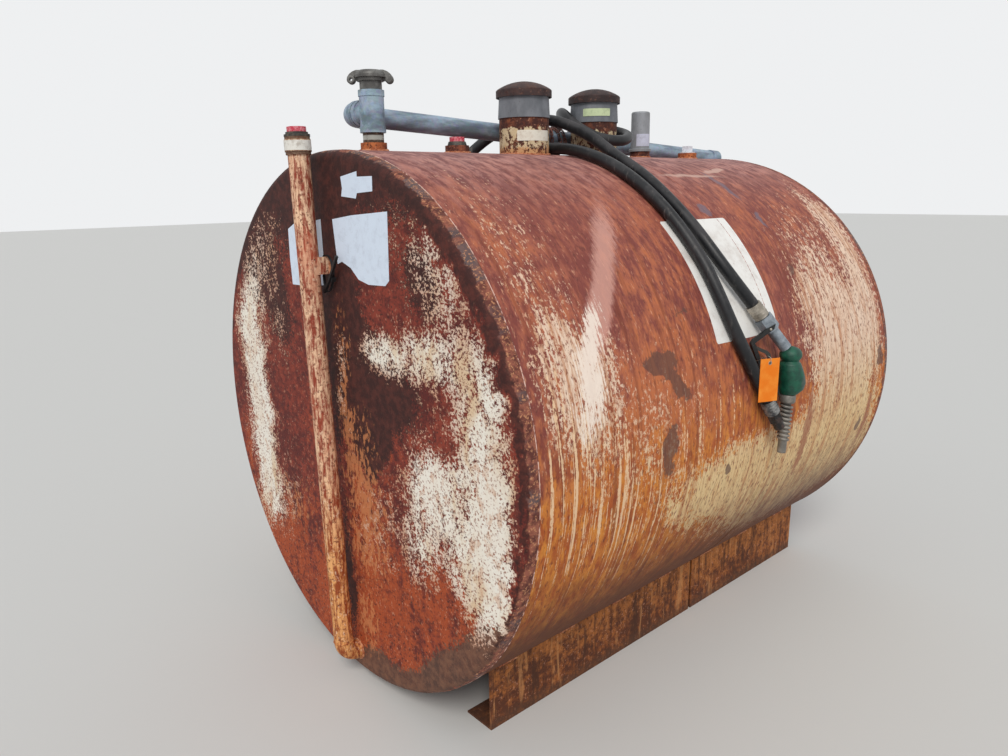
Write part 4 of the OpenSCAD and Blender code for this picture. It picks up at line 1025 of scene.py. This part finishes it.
for side, low in (("front", -0.0112), ("back", 0.0072)):
    lid_parts.append(plate("lid_strap_" + side, arch, low, low + bar_width, lid_frame))
    for end, along in (("lock", -0.054), ("hinge", 0.054)):
        middle = Matrix.Translation((along, low + bar_width / 2, 0.0))
        place = lid_frame @ middle @ on_its_side
        lid_parts.append(turned("lid_%s_boss_%s" % (end, side), boss, place, 32))
put_on(lid_alloy, *lid_parts)
for part in lid_parts:
    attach(part, "fill_lid")


# The sockets
# Short steel sockets welded on the crown for the fill, the ports and the gauge. Two are
# orange with fresh rust, two are brown.
def socket_finish(name, dark, mid, light):
    socket = Finish(name, gloss=0.35)
    colour, close, _ = rust_colours(socket, socket.place, 0.35, dark, mid, light, 0.4)
    return socket.lay(colour, 0.8, socket.bump(close, 0.5, 0.001))


orange_socket = socket_finish("orange_socket_rust", (112, 54, 34), (158, 84, 52), (196, 116, 68))
brown_socket = socket_finish("brown_socket_rust", (66, 36, 32), (98, 56, 46), (146, 84, 60))
put_on(orange_socket, "fill_socket", "white_port_socket")
put_on(brown_socket, "small_port_socket", "gauge_socket")
white_plastic = plastic_finish("weathered_white_plastic", (236, 238, 246), (204, 206, 212))
put_on(white_plastic, "white_plug")


# The emergency vents
# A six inch riser, a grey hood pushed over it, and a loose cast cap that lifts on its stem.
# Cream paint peels from the risers; the caps are brown with even rust.
def riser_finish():
    riser = Finish("peeling_riser_paint", gloss=0.35)
    z = riser.split(riser.place)[2]
    colour, close, _ = rust_colours(
        riser, riser.place, 0.2, (66, 34, 27), (98, 54, 40), (158, 92, 58)
    )
    ragged = riser.stretch(riser.drift(riser.place, 0.03, 40, 4), (1, 1, 0.6))
    peel = riser.noise(ragged, 52, 4, 0.72)
    left = riser.sum("ADD", peel, riser.ease(z, 1.748, 1.728, -0.2, 0.05))
    cream = riser.mix(riser.noise(riser.place, 45, 4), (198, 170, 122), (226, 212, 182))
    colour = riser.tinge(colour, cream, left, 0.52, 0.56)
    low_left = riser.sum("ADD", peel, riser.ease(z, 1.7, 1.66, -0.3, 0.06))
    colour = riser.tinge(colour, (196, 124, 58), low_left, 0.5, 0.56, 0.6)
    holes = riser.noise(riser.place, 70, 3, 0.65)
    colour = riser.tinge(colour, (92, 44, 30), holes, 0.42, 0.36, 0.9)
    return riser.lay(colour, 0.72, riser.bump(riser.scaled(left, 1.5, close), 0.5, 0.0012))


def hood_finish(name, first, second):
    return worn_finish(
        name, (first, second, (66, 58, 52)), (14, 5, 0.6), (0.36, 0.66),
        ((190, 4, 0.65), (0.6, 0.7, 0.5)), True, metal=0.15, gloss=0.45, rough=0.6,
        stretch=(1, 1, 0.5),
    )


def cap_finish():
    cap = Finish("brown_cap_rust", gloss=0.4)
    colour, close, speck = rust_colours(
        cap, cap.place, 0.0, (46, 34, 34), (68, 50, 48), (92, 62, 50), 0.2
    )
    return cap.lay(colour, 0.7, cap.bump(cap.scaled(close, 0.6, speck), 0.6, 0.0014))


hood_grey = hood_finish("weathered_grey_hood", (100, 104, 110), (128, 131, 137))
gauge_grey = hood_finish("gauge_hood_grey", (130, 132, 134), (158, 162, 168))
put_on(riser_finish(), "front_vent_riser", "back_vent_riser")
put_on(hood_grey, "front_vent_hood", "back_vent_hood")
put_on(cap_finish(), "front_vent_cap", "back_vent_cap")
put_on(gauge_grey, "gauge_hood")

hood_r = 0.08775
front_vent = (vent_places["front"], 0.0)
back_vent = (vent_places["back"], 0.0)
gauge_place = (socket_places["gauge"], 0.0)
cream_label = vinyl_finish("cream_label", (234, 230, 216), (186, 160, 134), 0.5, 60)
pale_label = vinyl_finish("pale_label", (206, 220, 176), (150, 166, 130), 0.7, 60)
lilac_label = vinyl_finish("lilac_label", (204, 208, 226), (168, 170, 184), 0.7, 70)
post_label("front_riser_label", front_vent, riser_r, 211, 297, 1.692, 1.726, cream_label)
post_label("gauge_label", gauge_place, socket_r, 196, 288, 1.692, 1.738, lilac_label)
post_label("back_hood_label", back_vent, hood_r, 196, 262, 1.786, 1.812, pale_label)


# The nozzle
# A hand nozzle on a swivel: a moulded green cover over the valve, a bare neck, a spring
# guard round the spout, and a black guard bar round the lever. A card tag is tied to it.
nozzle_way = (hose_corners[0] - hose_corners[1]).normalized()
knob_reach = 0.2
knob = hose_corners[0] + nozzle_way * knob_reach
knob_r = 0.0325
guard_turn = math.radians(-24)

cover_shape = bmesh.new()
bmesh.ops.create_uvsphere(cover_shape, u_segments=32, v_segments=18, radius=knob_r)
bmesh.ops.scale(cover_shape, vec=(1.04, 1.04, 0.82), verts=cover_shape.verts)
boot = [
    (0.0, -0.014), (0.022, -0.017), (0.032, -0.026), (0.037, -0.044), (0.0395, -0.066),
    (0.04, -0.088), (0.037, -0.108), (0.027, -0.123), (0.0, -0.126),
]
spin_outline(cover_shape, boot, 40)
bulge_top = -0.022
bulge_length = 0.104
bulge_front = 0.01
bulge_side = 0.006
for vert in cover_shape.verts:
    if vert.co.z < bulge_top:
        share = min(1.0, (bulge_top - vert.co.z) / bulge_length)
        bulge = math.sin(math.pi * share**1.7)
        vert.co.x += bulge_front * bulge
        vert.co.y -= bulge_side * bulge
bmesh.ops.transform(cover_shape, matrix=Matrix.Translation(knob), verts=cover_shape.verts)
cover = finish_mesh("nozzle_cover", cover_shape)
remesh = cover.modifiers.new("one_skin", "REMESH")
remesh.mode = "VOXEL"
remesh.voxel_size = 0.002
remesh.use_smooth_shade = True
soften = cover.modifiers.new("soften", "SMOOTH")
soften.factor = 0.5
soften.iterations = 5


def cover_finish():
    green = Finish("green_moulded_cover", gloss=0.5)
    worn = green.noise(green.place, 46, 6, 0.68)
    speck = green.noise(green.place, 260, 3, 0.6)
    colour = green.tinge((8, 62, 48), (16, 88, 66), worn, 0.36, 0.68)
    x, y, z = green.split(green.place)
    rub_place = green.join(green.sum("SUBTRACT", x, y), z, 0.0)
    rub = green.patches(green.drift(rub_place, 0.02, 40, 3), [(0.985, 0.945, 0.03, 0.045, 1.3)])
    patchy = green.ease(worn, 0.4, 0.6, 0.4, 1.0)
    rubbed = green.scaled(green.ease(rub, 0.2, 0.8, 0, 0.8), patchy)
    colour = green.mix(rubbed, colour, (78, 82, 80))
    colour = green.tinge(colour, (96, 116, 104), speck, 0.62, 0.7, 0.35)
    rough = green.ease(worn, 0.3, 0.7, 0.38, 0.6)
    return green.lay(colour, rough, green.bump(speck, 0.15, 0.0004))


put_on(cover_finish(), cover)
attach(cover, "tank")
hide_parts("nozzle_body")

ferrule_alloy = cast_alloy_finish("crimped_ferrule_metal", (150, 142, 130), (196, 188, 176), 0.6)
swivel_alloy = cast_alloy_finish("swivel_metal", (122, 130, 138), (164, 172, 180), 0.6)
spout_alloy = cast_alloy_finish("spout_metal", (118, 114, 108), (158, 152, 144), 0.4)
band_metal = cast_alloy_finish("dark_band_metal", (74, 74, 76), (168, 168, 166), 0.75)
wet_iron = worn_finish(
    "oily_black_fitting", ((20, 16, 15), (70, 50, 44)), (60, 5, 0.65), (0.44, 0.66),
    relief=(0.25, 0.0006), metal=0.2, gloss=0.6, rough=(0.22, 0.55),
)
put_on(ferrule_alloy, "nozzle_ferrule")
put_on(band_metal, "open_end_ferrule")
put_on(wet_iron, "open_end_fitting")
put_on(swivel_alloy, "nozzle_swivel")

spout_drop = 0.128
spout_lean = math.radians(4)
spout_foot = knob - Vector((0.0, 0.0, spout_drop))
spout_place = Matrix.Translation(spout_foot) @ Matrix.Rotation(spout_lean, 4, "Y")
spout_tube = turned("spout_tube", [
    (0.0, 0.003), (0.0225, 0.003), (0.0245, 0.0), (0.0245, -0.019), (0.0215, -0.024),
    (0.0135, -0.024), (0.0135, -0.178), (0.013, -0.185), (0.0112, -0.185),
    (0.011, -0.15), (0.0, -0.15),
], spout_place)
put_on(spout_alloy, spout_tube)
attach(spout_tube, "tank")
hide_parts("nozzle_spout")
coil_line = []
coil_turns = 9
coil_steps = coil_turns * 28
coil_top = -0.0275
coil_length = 0.117
coil_wire_r = 0.0043
for i in range(coil_steps + 1):
    share = i / coil_steps
    turn = 2 * math.pi * coil_turns * share
    reach = 0.016 - 0.001 * share
    up = coil_top - coil_length * share
    coil_line.append(spout_place @ Vector((reach * math.cos(turn), reach * math.sin(turn), up)))
spring_guard = round_bar("spring_guard", coil_line, coil_wire_r, sides=4)
put_on(spout_alloy, spring_guard)
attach(spring_guard, "tank")


def painted_bar_finish(name, face, edge):
    return worn_finish(
        name, (face, edge), (90, 6, 0.7), (0.56, 0.7, 0.8), relief=(0.3, 0.0005),
        metal=0.2, rough=(0.4, 0.65),
    )


put_on(painted_bar_finish("black_guard_bar", (34, 34, 34), (78, 76, 72)), "nozzle_guard")
put_on(painted_bar_finish("dark_lever_steel", (62, 62, 58), (142, 138, 130)), "nozzle_lever")
orange_card = worn_finish(
    "orange_card", ((238, 124, 22), (246, 148, 50), (206, 104, 30)), (24, 4, 0.6), (0.35, 0.7),
    ((240, 5, 0.65), (0.58, 0.72, 0.35)), True, (0.2, 0.0003), gloss=0.3, rough=0.75,
)
put_on(orange_card, "tag")


def guard_point(across, front, up):
    """A point in the guard's turned frame, in millimetres from the knob."""
    turn = Matrix.Rotation(guard_turn, 4, "Z")
    return knob + turn @ Vector((across / 1000, front / 1000, up / 1000))


tag_hole = guard_point(-113, -52.8, -6)
across_tag = guard_point(0, -1, 0) - knob
wire_r = 0.0014
grommet_ring = ring_line(tag_hole, across_tag, 0.0049, 0.001)
grommet = round_bar("tag_grommet", grommet_ring, wire_r, closed=True)
wire_points = [
    (-113, -56, -4), (-113, -50, -6.5), (-111, -25, -1), (-109, -7, 1), (-110, 6.5, 1),
    (-117, 7.6, -3), (-124.5, 6.5, -7), (-125.5, -7, -7), (-120, -30, 4), (-115, -50, 13),
    (-113.5, -56.5, 8),
]
wire_ring = [guard_point(*point) for point in wire_points + wire_points[:1]]
tie_wire = round_bar("tag_wire", smooth_line(wire_ring, 0.002)[:-1], 0.0008, closed=True)
open_way = (hose_corners[-1] - hose_corners[-2]).normalized()
nozzle_end = ("nozzle", hose_corners[0], nozzle_way, ferrule_alloy)
open_end = ("open_end", hose_corners[-1], open_way, band_metal)
first_crimp = 0.008
crimp_pitch = 0.009
crimp_r = 0.0229
crimps = []
for end, start, way, alloy in (nozzle_end, open_end):
    for count in range(4):
        middle = start + way * (first_crimp + crimp_pitch * count)
        ring = ring_line(middle, way, crimp_r, 0.002)
        crimp = round_bar("%s_crimp_%d" % (end, count + 1), ring, wire_r, closed=True)
        put_on(alloy, crimp)
        crimps.append(crimp)
rivet_outline = [(0.0042, 0.0), (0.004, 0.0012), (0.0028, 0.0022), (0.0, 0.0026)]
rivet_place = facing(guard_point(-82, -4.8, 84.5), across_tag)
rivet = turned("guard_rivet", rivet_outline, rivet_place, 20)
put_on(ferrule_alloy, grommet, tie_wire, rivet)
for part in [grommet, tie_wire, rivet] + crimps:
    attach(part, "tank")


# The chain
# A short rusty chain of welded links, wound over the top pipe between the vents, its loose
# end on the crown.
chain_corners = [
    (-0.062, 0.044, 1.659), (-0.044, 0.06, 1.666), (-0.03, 0.0765, 1.69),
    (-0.024, 0.0815, 1.716), (-0.018, 0.093, 1.741), (-0.01, 0.119, 1.7535),
    (-0.002, 0.145, 1.741), (0.004, 0.157, 1.716), (0.01, 0.146, 1.74),
    (0.014, 0.12, 1.7525), (0.016, 0.0935, 1.74), (0.018, 0.0815, 1.714),
    (0.021, 0.077, 1.688), (0.03, 0.074, 1.675), (0.04, 0.078, 1.69),
    (0.044, 0.0825, 1.714), (0.046, 0.094, 1.739), (0.048, 0.12, 1.751),
    (0.05, 0.146, 1.738), (0.052, 0.156, 1.712), (0.054, 0.152, 1.688),
]
chain_line = smooth_line([Vector(corner) for corner in chain_corners], 0.0145)
chain_rust = cast_alloy_finish("chain_rust", (58, 36, 32), (142, 92, 80), metal=0.1)
link_half_width = 0.0058
link_side = 0.0062
link_end = 0.0045
link_wire_r = 0.0019
link_steps = 20
for count, (first, second) in enumerate(zip(chain_line, chain_line[1:])):
    along = (second - first).normalized()
    upward = (Vector((0.0, 0.0, 1.0)) - along * along.z).normalized()
    wide = (upward if count % 2 else along.cross(upward)) * link_half_width
    reach = along * link_side
    middle = (first + second) / 2
    link = []
    for k in range(link_steps):
        turn = 2 * math.pi * k / link_steps
        end_push = reach if math.cos(turn) > 0 else -reach
        bow = along * (link_end * math.cos(turn)) + wide * math.sin(turn)
        link.append(middle + end_push + bow)
    ring = round_bar("chain_link_%d" % (count + 1), link, link_wire_r, closed=True)
    put_on(chain_rust, ring)
    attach(ring, "tank")


# The ground and the light
# A pale plain floor, an even sky that looks brighter than it lights, and a broad soft sun
# high on the hose side.
floor_mesh = bpy.data.meshes.new("floor")
floor_shape = bmesh.new()
bmesh.ops.create_grid(floor_shape, x_segments=1, y_segments=1, size=40)
floor_shape.to_mesh(floor_mesh)
floor_shape.free()
floor = bpy.data.objects.new("floor", floor_mesh)
scene.collection.objects.link(floor)
put_on(Finish("pale_floor", gloss=0.1).lay((214, 214, 212), 0.9), floor)

world = bpy.data.worlds.new("sky")
scene.world = world
world.use_nodes = True
sky = Nodes(world.node_tree)
rays = sky.add("ShaderNodeLightPath").outputs
seen = sky.sum("MAXIMUM", rays["Is Camera Ray"], rays["Is Glossy Ray"])
seen = sky.sum("MAXIMUM", seen, rays["Is Transmission Ray"])
skies = []
for colour, strength in (((0.93, 0.96, 1.0, 1.0), 0.55), ((0.86, 0.87, 0.88, 1.0), 1.0)):
    inputs = {"Color": colour, "Strength": strength}
    skies.append(sky.add("ShaderNodeBackground", inputs).outputs[0])
sky_mix = sky.add("ShaderNodeMixShader", {0: seen, 1: skies[0], 2: skies[1]})
sky.add("ShaderNodeOutputWorld", {0: sky_mix.outputs[0]})

sun_data = bpy.data.lights.new("high_sun", "SUN")
sun_data.energy = 1.7
sun_data.angle = math.radians(25)
sun_data.color = (1.0, 0.97, 0.92)
sun = bpy.data.objects.new("high_sun", sun_data)
scene.collection.objects.link(sun)
sun_from = Vector((-0.8, -0.8, 1.1))
sun.rotation_euler = sun_from.to_track_quat("Z", "Y").to_euler()
